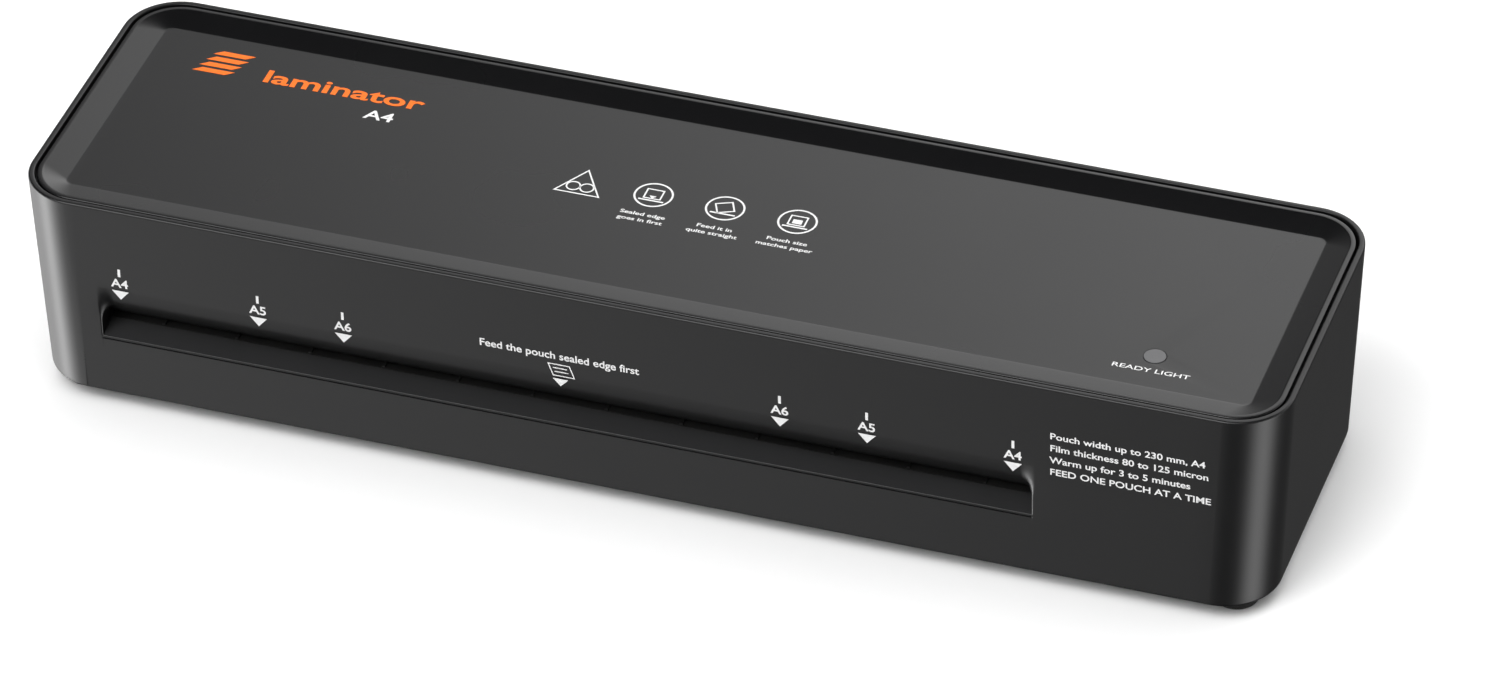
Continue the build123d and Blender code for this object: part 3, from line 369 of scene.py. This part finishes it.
def mouth_end(step, z, depth, inner):
    """How far outside the slot's end a column stands, and how deep: hard low down, softly rounded higher up."""
    share = step / END_STEPS
    rise = max(0.0, min(1.0, (z - SOFT_FROM) / (SOFT_FULL - SOFT_FROM)))
    soft = rise * rise * (3 - 2 * rise)
    smooth = share * share * (3 - 2 * share)
    soft_out, soft_depth = CHEEK_ROUND + SOFT_WIDTH * (1 - share) - SOFT_IN, depth * smooth
    round_radius = min(CHEEK_ROUND, depth)
    half = END_STEPS // 2
    if step <= half:
        angle = math.radians(90.0 * step / half)
        hard_out = CHEEK_ROUND * (1 - math.sin(angle))
        hard_depth = round_radius * (1 - math.cos(angle))
    else:
        hard_out = 0.0
        hard_depth = round_radius + (depth - round_radius) * (step - half) / (END_STEPS - half)
    out = hard_out + (soft_out - hard_out) * soft
    deep = hard_depth + (soft_depth - hard_depth) * soft
    return out + (WALL if inner else 0.0), deep


REAR_COLUMNS = [133.8, 132.8, 123.2, 122.2] + spread(SLOT_RIGHT, SLOT_LEFT, 12)

FRONT_COLUMNS = [("plain", FRONT_ENDS[0])]
FRONT_COLUMNS += [("left", i) for i in range(END_STEPS + 1)]
FRONT_COLUMNS += [("inside", x) for x in spread(SLOT_LEFT, SLOT_RIGHT, FRONT_INSIDE)[1:-1]]
FRONT_COLUMNS += [("right", END_STEPS - i) for i in range(END_STEPS + 1)]
FRONT_COLUMNS += [("plain", x) for x in spread(SLOT_RIGHT + 8.0, FRONT_ENDS[1], 3)]

LIP_ROWS = [20.72, 20.84, 20.92, 21.18, 21.26, 21.36, LIP - LIP_ROUND, 21.70, 21.77, LIP, SILL_PLAIN]
ROLL_ROWS = [ROLL_TOP - ROLL_RADIUS * math.sin(ROLL_ANGLE * i / ROLL_STEPS) for i in range(ROLL_STEPS + 1)]
WALL_ROWS = sorted(set([round(z, 4) for z in LIP_ROWS + ROLL_ROWS + [
    FOOT + BASE_ROUND, 8.0, INLET_Z[0], 15.0, 18.0, EXIT_LOW, INLET_Z[1], EXIT_HIGH, SWITCH_Z[0], 40.0, 42.0,
    46.0, 49.0, SWITCH_Z[1], 55.0, TOP - RIM_ROUND]]))


def wall_row(inset, z, inner):
    """One ring of the casing wall, with the mouth drawn in on its front."""
    face = lean(z)[1]
    ring = []
    for kind, value in FRONT_COLUMNS:
        depth, height = mouth_profile(z, inner)
        if kind == "plain":
            ring.append((value, front_at(z) + inset, z))
            continue
        if kind == "inside":
            ring.append((value, front_at(z) + inset + depth, height))
            continue
        out, deep = mouth_end(value, z, depth, inner)
        share = deep / depth if depth > 1e-6 else value / END_STEPS
        x = SLOT_LEFT - out if kind == "left" else SLOT_RIGHT + out
        ring.append((x, front_at(z) + inset + deep, z + (height - z) * share))
    radius = CORNER - inset
    for index, (sign_x, sign_y, angle) in enumerate(CORNERS):
        ring += [(x, y, z) for x, y in corner_arc(inset, z, sign_x, sign_y, angle, radius, CORNER_STEPS)]
        if index == 1:
            back = MIDDLE + (REAR - FRONT) / 2 - face - inset
            ring += [(x, back, z) for x in REAR_COLUMNS]
    return ring


def is_open(row, column, rear_start):
    """Whether a cell of the wall, between two rows and two columns, is an opening."""
    low, high = WALL_ROWS[row], WALL_ROWS[row + 1]
    middle = (low + high) / 2
    if column < len(FRONT_COLUMNS) - 1:
        left, right = FRONT_COLUMNS[column], FRONT_COLUMNS[column + 1]
        in_slot = {left[0], right[0]} <= {"inside", "left", "right"} and "inside" in (left[0], right[0])
        return in_slot and SILL_PLAIN < middle < ROLL_LOW
    index = column - rear_start
    if 0 <= index < len(REAR_COLUMNS) - 1:
        x = (REAR_COLUMNS[index] + REAR_COLUMNS[index + 1]) / 2
        in_exit = SLOT_LEFT < x < SLOT_RIGHT and EXIT_LOW < middle < EXIT_HIGH
        in_inlet = INLET_X[0] < x < INLET_X[1] and INLET_Z[0] < middle < INLET_Z[1]
        in_switch = SWITCH_X[0] < x < SWITCH_X[1] and SWITCH_Z[0] < middle < SWITCH_Z[1]
        return in_exit or in_inlet or in_switch
    return False


def casing_mesh():
    """The whole casing wall as one closed skin: outer face, rim, inner face, and the edges of its openings."""
    bm = bmesh.new()
    base = [(BASE_ROUND - BASE_ROUND * math.sin(a), FOOT + BASE_ROUND - BASE_ROUND * math.cos(a))
            for a in [math.radians(d) for d in (0, 22.5, 45, 67.5)]]
    rim = [(RIM_ROUND * (1 - math.cos(a)), TOP - RIM_ROUND * (1 - math.sin(a)))
           for a in [math.radians(d) for d in (18, 36, 54, 72, 90)]]
    rim += [(RIM - 0.3, TOP), (RIM - 0.12, TOP - 0.05), (RIM - 0.03, TOP - 0.15), (RIM, TOP - 0.3), (RIM, LEDGE),
            (WALL, LEDGE)]
    rings = [("skin", i, z) for i, z in base]
    outer_start = len(rings)
    rings += [("outer", 0.0, z) for z in WALL_ROWS]
    rings += [("skin", i, z) for i, z in rim]
    inner_rows = list(reversed([z for z in WALL_ROWS if z < LEDGE]))
    inner_last = len(rings) + len(inner_rows) - 1
    rings += [("inner", WALL, z) for z in inner_rows]
    rings += [("skin", WALL, FOOT)]
    verts = []
    for kind, inset, z in rings:
        verts.append([bm.verts.new(p) for p in wall_row(inset, z, kind == "inner")])
    count = len(verts[0])
    rear_start = len(FRONT_COLUMNS) + 2 * (CORNER_STEPS + 1)

    for ring in range(len(rings)):
        following = (ring + 1) % len(rings)
        for column in range(count):
            after = (column + 1) % count
            row = ring - outer_start
            if rings[ring][0] == "outer" and rings[following][0] == "outer" and is_open(row, column, rear_start):
                continue
            if rings[ring][0] == "inner" and rings[following][0] == "inner":
                row = inner_last - following
                if is_open(row, column, rear_start):
                    continue
            bm.faces.new([verts[ring][column], verts[ring][after], verts[following][after], verts[following][column]])
    last_row = len(inner_rows) - 1
    for row in range(last_row):
        for column in range(count):
            if not is_open(row, column, rear_start):
                continue
            after = (column + 1) % count
            low, high = outer_start + row, outer_start + row + 1
            low_in, high_in = inner_last - row, inner_last - row - 1
            if not is_open(row - 1, column, rear_start):
                bm.faces.new([verts[low][column], verts[low][after], verts[low_in][after], verts[low_in][column]])
            if not is_open(row + 1, column, rear_start):
                bm.faces.new([verts[high][column], verts[high_in][column], verts[high_in][after], verts[high][after]])
            if not is_open(row, column - 1, rear_start):
                bm.faces.new([verts[low][column], verts[low_in][column], verts[high_in][column], verts[high][column]])
            if not is_open(row, column + 1, rear_start):
                bm.faces.new([verts[low][after], verts[high][after], verts[high_in][after], verts[low_in][after]])
    bm.normal_update()
    for face in bm.faces:
        middle = face.calc_center_median()
        inside = SLOT_LEFT < middle.x < SLOT_RIGHT and middle.y < 0
        if inside and LIP < middle.z < SILL_TOP and face.normal.z > 0.5:
            face.material_index = 1
    bmesh.ops.remove_doubles(bm, verts=bm.verts, dist=0.0005)
    return weighted(mesh_from(bm, SMOOTH_ANGLE))


def bridge(bm, lower, upper):
    for i in range(len(lower)):
        after = (i + 1) % len(lower)
        bm.faces.new([lower[i], lower[after], upper[after], upper[i]])


def panel_mesh():
    """The top panel: a rounded bead round its edge, a slope, and the sunk flat with the lamp's hole in it."""
    bm = bmesh.new()
    radius = CORNER - PANEL_INSET
    edge = [(0.0, LEDGE, radius), (0.0, PANEL_TOP - 0.45, radius), (0.05, PANEL_TOP - 0.22, radius),
            (0.15, PANEL_TOP - 0.08, radius), (0.3, PANEL_TOP, radius)]
    edge += [(BEAD - 0.35, PANEL_TOP, radius - 0.8), (BEAD - 0.1, PANEL_TOP - 0.05, radius - BEAD + 0.1),
             (BEAD + 0.12, PANEL_TOP - 0.2, radius - BEAD - 0.1)]
    inner = FLAT_INSET - PANEL_INSET
    edge += [(inner - 0.35, FLAT_TOP + 0.06, FLAT_CORNER + 0.35),
             (inner - 0.12, FLAT_TOP + 0.015, FLAT_CORNER + 0.12), (inner + 0.1, FLAT_TOP, FLAT_CORNER)]
    loops = []
    for inset, z, corner in edge:
        loops.append([bm.verts.new(p) for p in rounded_loop(PANEL_INSET + inset, z, corner)])
    for lower, upper in zip(loops, loops[1:]):
        bridge(bm, lower, upper)
    bm.faces.new(list(reversed(loops[0])))
    hole = []
    for drop, reach in ((0.0, 0.22), (0.12, 0.08), (1.2, 0.06)):
        ring = []
        for i in range(40):
            angle = 2 * math.pi * i / 40
            r = LENS_RADIUS + reach
            ring.append(bm.verts.new((LENS[0] + r * math.cos(angle), LENS[1] + r * math.sin(angle), FLAT_TOP - drop)))
        hole.append(ring)
    for upper, lower in zip(hole, hole[1:]):
        bridge(bm, lower, upper)
    bm.faces.new(hole[-1])
    rim_edges = [e for loop in (loops[-1], hole[0]) for e in
                 [bm.edges.get((loop[i], loop[(i + 1) % len(loop)])) for i in range(len(loop))]]
    bmesh.ops.triangle_fill(bm, edges=rim_edges, use_beauty=True, normal=(0, 0, 1))
    return weighted(mesh_from(bm, SMOOTH_ANGLE))


# Feed ramp: the same ABS left coarse by the mould, so that film slides: quite matt, so it greys evenly.
RAMP_ABS = moulded("coarse_moulded_abs", "171718", "1B1B1C", (0.60, 0.70), 0.6, 0.01, patch=8.0)

piece("casing", casing_mesh(), "chassis", MATERIALS["black_abs"], ["housing_shell"], [RAMP_ABS])
piece("panel", panel_mesh(), "chassis", MATERIALS["panel_abs"], ["top_panel"])


# ---- printing ----

def on_front(u, v):
    """A place on the front wall, from its distance along the casing and its height."""
    return (u, front_at(v) - INK_LIFT, v)


def on_panel(u, v):
    return (u, v, FLAT_TOP + INK_LIFT)


def word(bm, text, place, u, v, height, align="CENTER", bold=0.0, widen=1.0):
    """Lettering whose capitals stand height millimetres tall, its first line's foot at v."""
    curve = bpy.data.curves.new("work", "FONT")
    curve.body = text
    curve.align_x = align
    curve.size = height / 0.72
    curve.offset = bold
    curve.resolution_u = 4
    obj = bpy.data.objects.new("work", curve)
    bpy.context.scene.collection.objects.link(obj)
    graph = bpy.context.evaluated_depsgraph_get()
    mesh = bpy.data.meshes.new_from_object(obj.evaluated_get(graph))
    verts = [bm.verts.new(place(u + p.co.x * widen, v + p.co.y)) for p in mesh.vertices]
    for face in mesh.polygons:
        bm.faces.new([verts[i] for i in face.vertices])
    bpy.data.objects.remove(obj)
    bpy.data.meshes.remove(mesh)
    bpy.data.curves.remove(curve)


def area(bm, place, points):
    bm.faces.new([bm.verts.new(place(*p)) for p in points])


def line(bm, place, points, width, closed=True):
    """A drawn line of one width along a run of points, with mitred corners."""
    count = len(points)
    sides = []
    for i, (x, y) in enumerate(points):
        before = points[i - 1] if closed or i else None
        after = points[(i + 1) % count] if closed or i < count - 1 else None
        ways = [Vector((b[0] - a[0], b[1] - a[1])).normalized()
                for a, b in ((before, (x, y)), ((x, y), after)) if a and b]
        normals = [Vector((-w.y, w.x)) for w in ways]
        middle = sum(normals, Vector((0, 0))).normalized()
        reach = width / 2 / max(0.35, middle.dot(normals[0]))
        sides.append([bm.verts.new(place(x + s * middle.x * reach, y + s * middle.y * reach)) for s in (1, -1)])
    for i in range(count if closed else count - 1):
        a, b = sides[i], sides[(i + 1) % count]
        bm.faces.new([a[0], a[1], b[1], b[0]])


def circle(cx, cy, radius, steps=40):
    return [(cx + radius * math.cos(2 * math.pi * i / steps), cy + radius * math.sin(2 * math.pi * i / steps))
            for i in range(steps)]


def print_mesh(bm, way):
    """Printed faces in metres, every one turned the way its surface faces."""
    bm.normal_update()
    for face in bm.faces:
        if face.normal.dot(Vector(way)) < 0:
            face.normal_flip()
    bmesh.ops.scale(bm, vec=(MM, MM, MM), verts=bm.verts)
    mesh = bpy.data.meshes.new("work")
    bm.to_mesh(mesh)
    bm.free()
    return mesh


SIZE_MARKS = ((-133.2, "A4"), (-97.0, "A5"), (-74.9, "A6"), (36.8, "A6"), (58.7, "A5"), (95.2, "A4"))


def front_print():
    bm = bmesh.new()
    for x, size in SIZE_MARKS:
        word(bm, size, on_front, x, 37.85, 2.55, bold=0.07, widen=1.08)
    word(bm, "Feed the pouch sealed edge first", on_front, -19.2, 41.6, 2.2, bold=0.05, widen=1.02)
    sheet = [(-22.0, 40.0), (-16.6, 40.0), (-16.6, 36.6), (-22.0, 36.6)]
    line(bm, on_front, [(x + (40.0 - z) * 0.35, z) for x, z in sheet], 0.3)
    line(bm, on_front, [(-20.8, 38.9), (-17.2, 38.9)], 0.3, closed=False)
    line(bm, on_front, [(-20.4, 37.8), (-16.9, 37.8)], 0.3, closed=False)
    area(bm, on_front, [(-21.0, 35.7), (-17.0, 35.7), (-19.0, 33.5)])
    lines = ("Pouch width up to 230 mm, A4", "Film thickness 80 to 125 micron", "Warm up for 3 to 5 minutes",
             "FEED ONE POUCH AT A TIME")
    for i, text in enumerate(lines):
        word(bm, text, on_front, 104.3, 46.1 - 3.6 * i, 1.9, align="LEFT", bold=0.045, widen=1.14)
    return print_mesh(bm, (0, -1, 0))


def sheet_icon(bm, cx, cy, turn):
    """A ringed pictogram: a sheet lying in a feed slot, turned by some degrees."""
    line(bm, on_panel, circle(cx, cy, 4.7), 0.5)
    angle = math.radians(turn)
    corners = [(-2.1, -1.5), (2.1, -1.5), (2.1, 2.2), (-2.1, 2.2)]
    turned = [(cx + x * math.cos(angle) - y * math.sin(angle), cy + x * math.sin(angle) + y * math.cos(angle))
              for x, y in corners]
    line(bm, on_panel, turned, 0.4)
    line(bm, on_panel, [(cx - 3.2, cy - 2.3), (cx + 3.2, cy - 2.3)], 0.5, closed=False)


def panel_print():
    bm = bmesh.new()
    line(bm, on_panel, [(-35.0, -4.4), (-23.6, -4.4), (-29.4, 5.4)], 0.4)
    line(bm, on_panel, circle(-31.0, -1.6, 1.7, 24), 0.4)
    line(bm, on_panel, circle(-27.5, -1.6, 1.7, 24), 0.4)
    captions = ((-11.0, "Sealed edge", "goes in first", 0), (7.4, "Feed it in", "quite straight", 24),
                (25.9, "Pouch size", "matches paper", 0))
    for x, first, second, turn in captions:
        sheet_icon(bm, x, 0.5, turn)
        word(bm, first, on_panel, x, -8.4, 1.35, bold=0.03, widen=1.3)
        word(bm, second, on_panel, x, -10.8, 1.35, bold=0.03, widen=1.3)
    area(bm, on_panel, [(-11.9, 0.1), (-10.1, 0.1), (-11.0, -1.0)])
    area(bm, on_panel, [(24.7, -0.4), (27.1, -0.4), (27.1, 1.3), (24.7, 1.3)])
    word(bm, "READY LIGHT", on_panel, 124.3, -31.9, 1.6, bold=0.015, widen=1.4)
    word(bm, "A4", on_panel, -86.4, 9.9, 3.7, bold=0.08, widen=1.25)
    return print_mesh(bm, (0, 0, 1))


def panel_mark():
    """A plain word and a fanned stack of sheets."""
    bm = bmesh.new()
    word(bm, "laminator", on_panel, -98.7, 16.9, 5.2, bold=0.14, widen=1.52)
    for i in range(4):
        low = 16.6 + i * 2.6
        shift = i * 0.9
        sheet = [(-138.0, low), (-129.4, low), (-127.2, low + 1.7), (-135.8, low + 1.7)]
        area(bm, on_panel, [(x + shift, y) for x, y in sheet])
    return print_mesh(bm, (0, 0, 1))


def fresh_tree(name, sizes):
    """A Geometry Nodes tree with a geometry socket at each end and named sizes in metres."""
    tree = bpy.data.node_groups.new(name, "GeometryNodeTree")
    tree.interface.new_socket("Geometry", in_out="INPUT", socket_type="NodeSocketGeometry")
    for label, value in sizes.items():
        socket = tree.interface.new_socket(label, in_out="INPUT", socket_type="NodeSocketFloat")
        socket.default_value = value * MM
    tree.interface.new_socket("Geometry", in_out="OUTPUT", socket_type="NodeSocketGeometry")
    return tree, add(tree, "NodeGroupInput").outputs


def close_tree(tree, shape, material):
    real = add(tree, "GeometryNodeRealizeInstances", {"Geometry": shape}).outputs["Geometry"]
    painted = add(tree, "GeometryNodeSetMaterial", {"Geometry": real, "Material": material}).outputs["Geometry"]
    add(tree, "NodeGroupOutput", {"Geometry": painted})


def grown(tree, sizes, spots):
    """The plain mesh that a tree makes from a set of points, given in millimetres."""
    mesh = bpy.data.meshes.new("work")
    mesh.from_pydata([Vector(spot) * MM for spot in spots], [], [])
    obj = bpy.data.objects.new("work", mesh)
    bpy.context.scene.collection.objects.link(obj)
    modifier = obj.modifiers.new("grow", "NODES")
    modifier.node_group = tree
    for item in tree.interface.items_tree:
        if item.item_type == "SOCKET" and item.in_out == "INPUT" and item.name in sizes:
            modifier[item.identifier] = sizes[item.name] * MM
    graph = bpy.context.evaluated_depsgraph_get()
    result = bpy.data.meshes.new_from_object(obj.evaluated_get(graph))
    bpy.data.objects.remove(obj)
    return result


POINTER_HEIGHT = 35.9
POINTER_SIZES = {"Tick width": 0.7, "Tick height": 2.3, "Tick rise": 6.35, "Triangle": 2.6}


def pointer_tree(material):
    """A tick over a triangle that points down, at every point: the marks above and below each pouch size."""
    tree, given = fresh_tree("size_pointers", POINTER_SIZES)
    tick = add(tree, "GeometryNodeMeshGrid", {"Size X": given["Tick width"], "Size Y": given["Tick height"],
                                              "Vertices X": 2, "Vertices Y": 2}).outputs["Mesh"]
    rise = add(tree, "ShaderNodeCombineXYZ", {"Y": given["Tick rise"]}).outputs["Vector"]
    tick = add(tree, "GeometryNodeTransform", {"Geometry": tick, "Translation": rise}).outputs["Geometry"]
    triangle = add(tree, "GeometryNodeMeshCircle", {"Vertices": 3, "Radius": given["Triangle"]}, fill_type="NGON")
    turned = add(tree, "GeometryNodeTransform", {"Geometry": triangle.outputs["Mesh"],
                                                 "Rotation": (0, 0, math.radians(-90)),
                                                 "Scale": (0.68, 1.0, 1.0)}).outputs["Geometry"]
    joined = add(tree, "GeometryNodeJoinGeometry", {"Geometry": tick})
    tree.links.new(turned, joined.inputs["Geometry"])
    slope = math.radians(90) + math.atan2(FACE_DRAFT, TOP - FOOT)
    spread_out = add(tree, "GeometryNodeInstanceOnPoints", {"Points": given["Geometry"],
                                                            "Instance": joined.outputs["Geometry"],
                                                            "Rotation": (slope, 0, 0)})
    close_tree(tree, spread_out.outputs["Instances"], material)
    return tree


pointer_spots = [on_front(x, POINTER_HEIGHT) for x, size in SIZE_MARKS]
pointers = grown(pointer_tree(WHITE_INK), POINTER_SIZES, pointer_spots)
piece("size_pointers", pointers, "chassis", WHITE_INK)
piece("front_printing", front_print(), "chassis", WHITE_INK)
piece("panel_printing", panel_print(), "chassis", WHITE_INK)
piece("panel_word", panel_mark(), "chassis", ORANGE_INK)

# ---- springs over the upper bearings ----

SPRING_SPOTS = [(-144.25, -2.0, 41.5), (105.25, -2.0, 41.5)]
SPRING_TURNS = 6.0
SPRING_SIZES = {"Coil radius": 3.0, "Wire radius": 0.4, "Coil height": 9.05}


def spring_tree(material):
    """A round wire coiled upwards from every point."""
    tree, given = fresh_tree("pressure_coils", SPRING_SIZES)
    coil = add(tree, "GeometryNodeCurveSpiral", {"Resolution": 28, "Rotations": SPRING_TURNS,
                                                 "Start Radius": given["Coil radius"],
                                                 "End Radius": given["Coil radius"],
                                                 "Height": given["Coil height"]}).outputs["Curve"]
    wire = add(tree, "GeometryNodeCurvePrimitiveCircle", {"Resolution": 10, "Radius": given["Wire radius"]})
    solid = add(tree, "GeometryNodeCurveToMesh", {"Curve": coil, "Profile Curve": wire.outputs["Curve"],
                                                  "Fill Caps": True}).outputs["Mesh"]
    placed = add(tree, "GeometryNodeInstanceOnPoints", {"Points": given["Geometry"], "Instance": solid})
    close_tree(tree, placed.outputs["Instances"], material)
    return tree


spring_mesh = grown(spring_tree(MATERIALS["spring_steel"]), SPRING_SIZES, SPRING_SPOTS)
spring_mesh.shade_smooth()
springs = piece("pressure_coils", spring_mesh, "chassis", MATERIALS["spring_steel"],
                replaced=["pressure_springs"])
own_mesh(springs)

# ---- the frame's own pieces ----

for part in frame["record"]["subparts"]:
    node_mesh = frame["nodes"][part["node"]].data
    node_mesh.materials.clear()
    node_mesh.materials.append(MATERIALS[part["material_slot"]])

# ---- stage, light, camera ----

def stage_floor():
    bm = bmesh.new()
    bmesh.ops.create_grid(bm, x_segments=8, y_segments=8, size=6000)
    mesh = mesh_from(bm)
    obj = bpy.data.objects.new("floor", mesh)
    bpy.context.scene.collection.objects.link(obj)
    material, tree, where = start("matt_white_sweep")
    paper = grain(tree, where, 60.0)
    end(tree, Base_Color=between(tree, paper, "F4F4F4", "F7F7F7"), Roughness=0.95)
    mesh.materials.append(material)
    obj.visible_glossy = False


def softbox(name, place, size, watts):
    """A box of light that shines straight down and isn't mirrored."""
    lamp = bpy.data.lights.new(name, "AREA")
    lamp.shape = "RECTANGLE"
    lamp.size, lamp.size_y = size
    lamp.energy = watts
    obj = bpy.data.objects.new(name, lamp)
    obj.location = place
    obj.visible_glossy = False
    bpy.context.scene.collection.objects.link(obj)


# Azimuth, elevation and roll of the camera in degrees, its distance, what it aims at and its shift off that line.
CAMERA_TURN = (18.956, 37.079, -0.959)
CAMERA_DISTANCE = 2143.085
CAMERA_AIM = (0, -2.75, 1.338)
CAMERA_ASIDE = (13.299, 14.723)
CAMERA_LENS = 208.1016


def camera():
    azimuth, elevation, roll = (math.radians(d) for d in CAMERA_TURN)
    back = Vector((math.sin(azimuth) * math.cos(elevation), -math.cos(azimuth) * math.cos(elevation),
                   math.sin(elevation)))
    right = Vector((0, 0, 1)).cross(back).normalized()
    up = back.cross(right)
    c, s = math.cos(roll), math.sin(roll)
    across = right * c + up * s
    upward = up * c - right * s
    aside, above = CAMERA_ASIDE
    place = (back * CAMERA_DISTANCE + across * aside + upward * above + Vector(CAMERA_AIM)) * MM
    lens = bpy.data.cameras.new("camera")
    lens.lens = CAMERA_LENS
    lens.sensor_width = 36.0
    lens.clip_start = 0.1
    lens.clip_end = 50.0
    obj = bpy.data.objects.new("camera", lens)
    obj.matrix_world = Matrix((
        (across.x, upward.x, back.x, place.x), (across.y, upward.y, back.y, place.y),
        (across.z, upward.z, back.z, place.z), (0, 0, 0, 1)))
    bpy.context.scene.collection.objects.link(obj)
    bpy.context.scene.camera = obj


def bands(tree, value, levels, strength):
    """A brightness that follows a value between given levels, the brightest of them equal to strength."""
    ramp = add(tree, "ShaderNodeValToRGB", {"Fac": value})
    elements = ramp.color_ramp.elements
    for position, level in levels[1:-1]:
        elements.new(position)
    for element, (position, level) in zip(elements, levels):
        element.position = position
        element.color = (level / strength,) * 3 + (1,)
    return add(tree, "ShaderNodeMath", {0: ramp.outputs["Color"], 1: strength}, operation="MULTIPLY").outputs[0]


def turn_bands(pairs):
    """Brightness levels by compass direction, in degrees from +X, as places along one full turn."""
    return [((degrees + 180.0) / 360.0, level) for degrees, level in pairs]


# Brightness of the studio low down, round the object: a strip of light to the left, a narrow one to the right.
LOW_BAND = turn_bands([(-180, 3.0), (-166, 10.0), (-150, 5.0), (-140, 2.7), (-128, 1.5), (-116, 1.6), (-109, 0.8),
                       (-104, 0.30), (-80, 0.2), (-50, 0.25), (-24, 4.2), (-14, 4.2), (12, 0.25), (31, 0.12),
                       (71, 0.12), (120, 0.3), (180, 3.0)])
LOW_BRIGHTEST = 10.0
# How it fades towards straight down, where the machine shades the ground.
LOW_FADE = [(0.0, 1.0), (0.55, 1.0), (0.66, 0.9), (0.80, 0.4), (0.90, 0.12), (0.96, 0.04), (1.0, 0.02)]
# Brightness of the back wall, which is brightest behind the object and to its right.
BACK_BAND = turn_bands([(-180, 0.2), (-60, 0.3), (0, 0.8), (60, 2.2), (88, 3.0), (104, 2.9), (106.5, 2.3), (109, 1.6),
                        (111.5, 1.0), (114, 0.6), (124, 0.2), (180, 0.2)])
BACK_BRIGHTEST = 3.0
# How that wall fades: dim at the floor, full at eye height, dark overhead.
BACK_FADE = [(0.0, 0.0), (0.03, 0.15), (0.178, 0.30), (0.45, 1.0), (0.60, 0.9), (0.70, 0.25), (0.78, 0.0), (1.0, 0.0)]
# A softbox over the camera's left shoulder, which draws the pale lines along the front edges.
FRONT_BOX = (-0.259, -0.603, 0.754)
FRONT_BOX_LEVEL = 5.5
FRONT_BOX_EDGE = (0.90, 0.97)
# The box overhead lights the floor and the ink; nothing glossy mirrors it. Height and side in metres, power in watts.
OVERHEAD = ((0.0, 0.0, 2.2), (3.2, 3.2), 57.0)


def surroundings():
    """A plain studio: light strips low down at both sides, a bright back wall, dark overhead."""
    world = bpy.data.worlds.new("studio")
    bpy.context.scene.world = world
    world.use_nodes = True
    tree = world.node_tree
    tree.nodes.clear()
    direction = add(tree, "ShaderNodeTexCoord").outputs["Generated"]
    split = add(tree, "ShaderNodeSeparateXYZ", {"Vector": direction})
    turn = add(tree, "ShaderNodeMath", {0: split.outputs["Y"], 1: split.outputs["X"]}, operation="ARCTAN2").outputs[0]
    turn = add(tree, "ShaderNodeMapRange", {"Value": turn, "From Min": -math.pi,
                                            "From Max": math.pi}).outputs["Result"]
    ring = bands(tree, turn, LOW_BAND, LOW_BRIGHTEST)
    down = add(tree, "ShaderNodeMath", {0: split.outputs["Z"], 1: -1.0}, operation="MULTIPLY").outputs[0]
    low = add(tree, "ShaderNodeMath", {0: ring, 1: bands(tree, down, LOW_FADE, 1.0)}, operation="MULTIPLY").outputs[0]
    wall = bands(tree, turn, BACK_BAND, BACK_BRIGHTEST)
    fade = bands(tree, split.outputs["Z"], BACK_FADE, 1.0)
    high = add(tree, "ShaderNodeMath", {0: wall, 1: fade}, operation="MULTIPLY").outputs[0]
    facing = add(tree, "ShaderNodeVectorMath", {0: direction, 1: FRONT_BOX}, operation="DOT_PRODUCT").outputs["Value"]
    outer, inner = FRONT_BOX_EDGE
    box = add(tree, "ShaderNodeMapRange", {"Value": facing, "From Min": outer, "From Max": inner,
                                           "To Max": FRONT_BOX_LEVEL}).outputs["Result"]
    high = add(tree, "ShaderNodeMath", {0: high, 1: box}, operation="ADD").outputs[0]
    above = add(tree, "ShaderNodeMath", {0: split.outputs["Z"], 1: 0.0}, operation="GREATER_THAN").outputs[0]
    both = add(tree, "ShaderNodeMix", {"Factor": above}, data_type="FLOAT")
    tree.links.new(low, both.inputs[2])
    tree.links.new(high, both.inputs[3])
    background = add(tree, "ShaderNodeBackground", {"Color": (1, 1, 1, 1), "Strength": both.outputs[0]})
    add(tree, "ShaderNodeOutputWorld", {"Surface": background.outputs["Background"]})


stage_floor()
surroundings()
softbox("overhead", *OVERHEAD)
camera()
bpy.context.scene.view_settings.view_transform = "Standard"
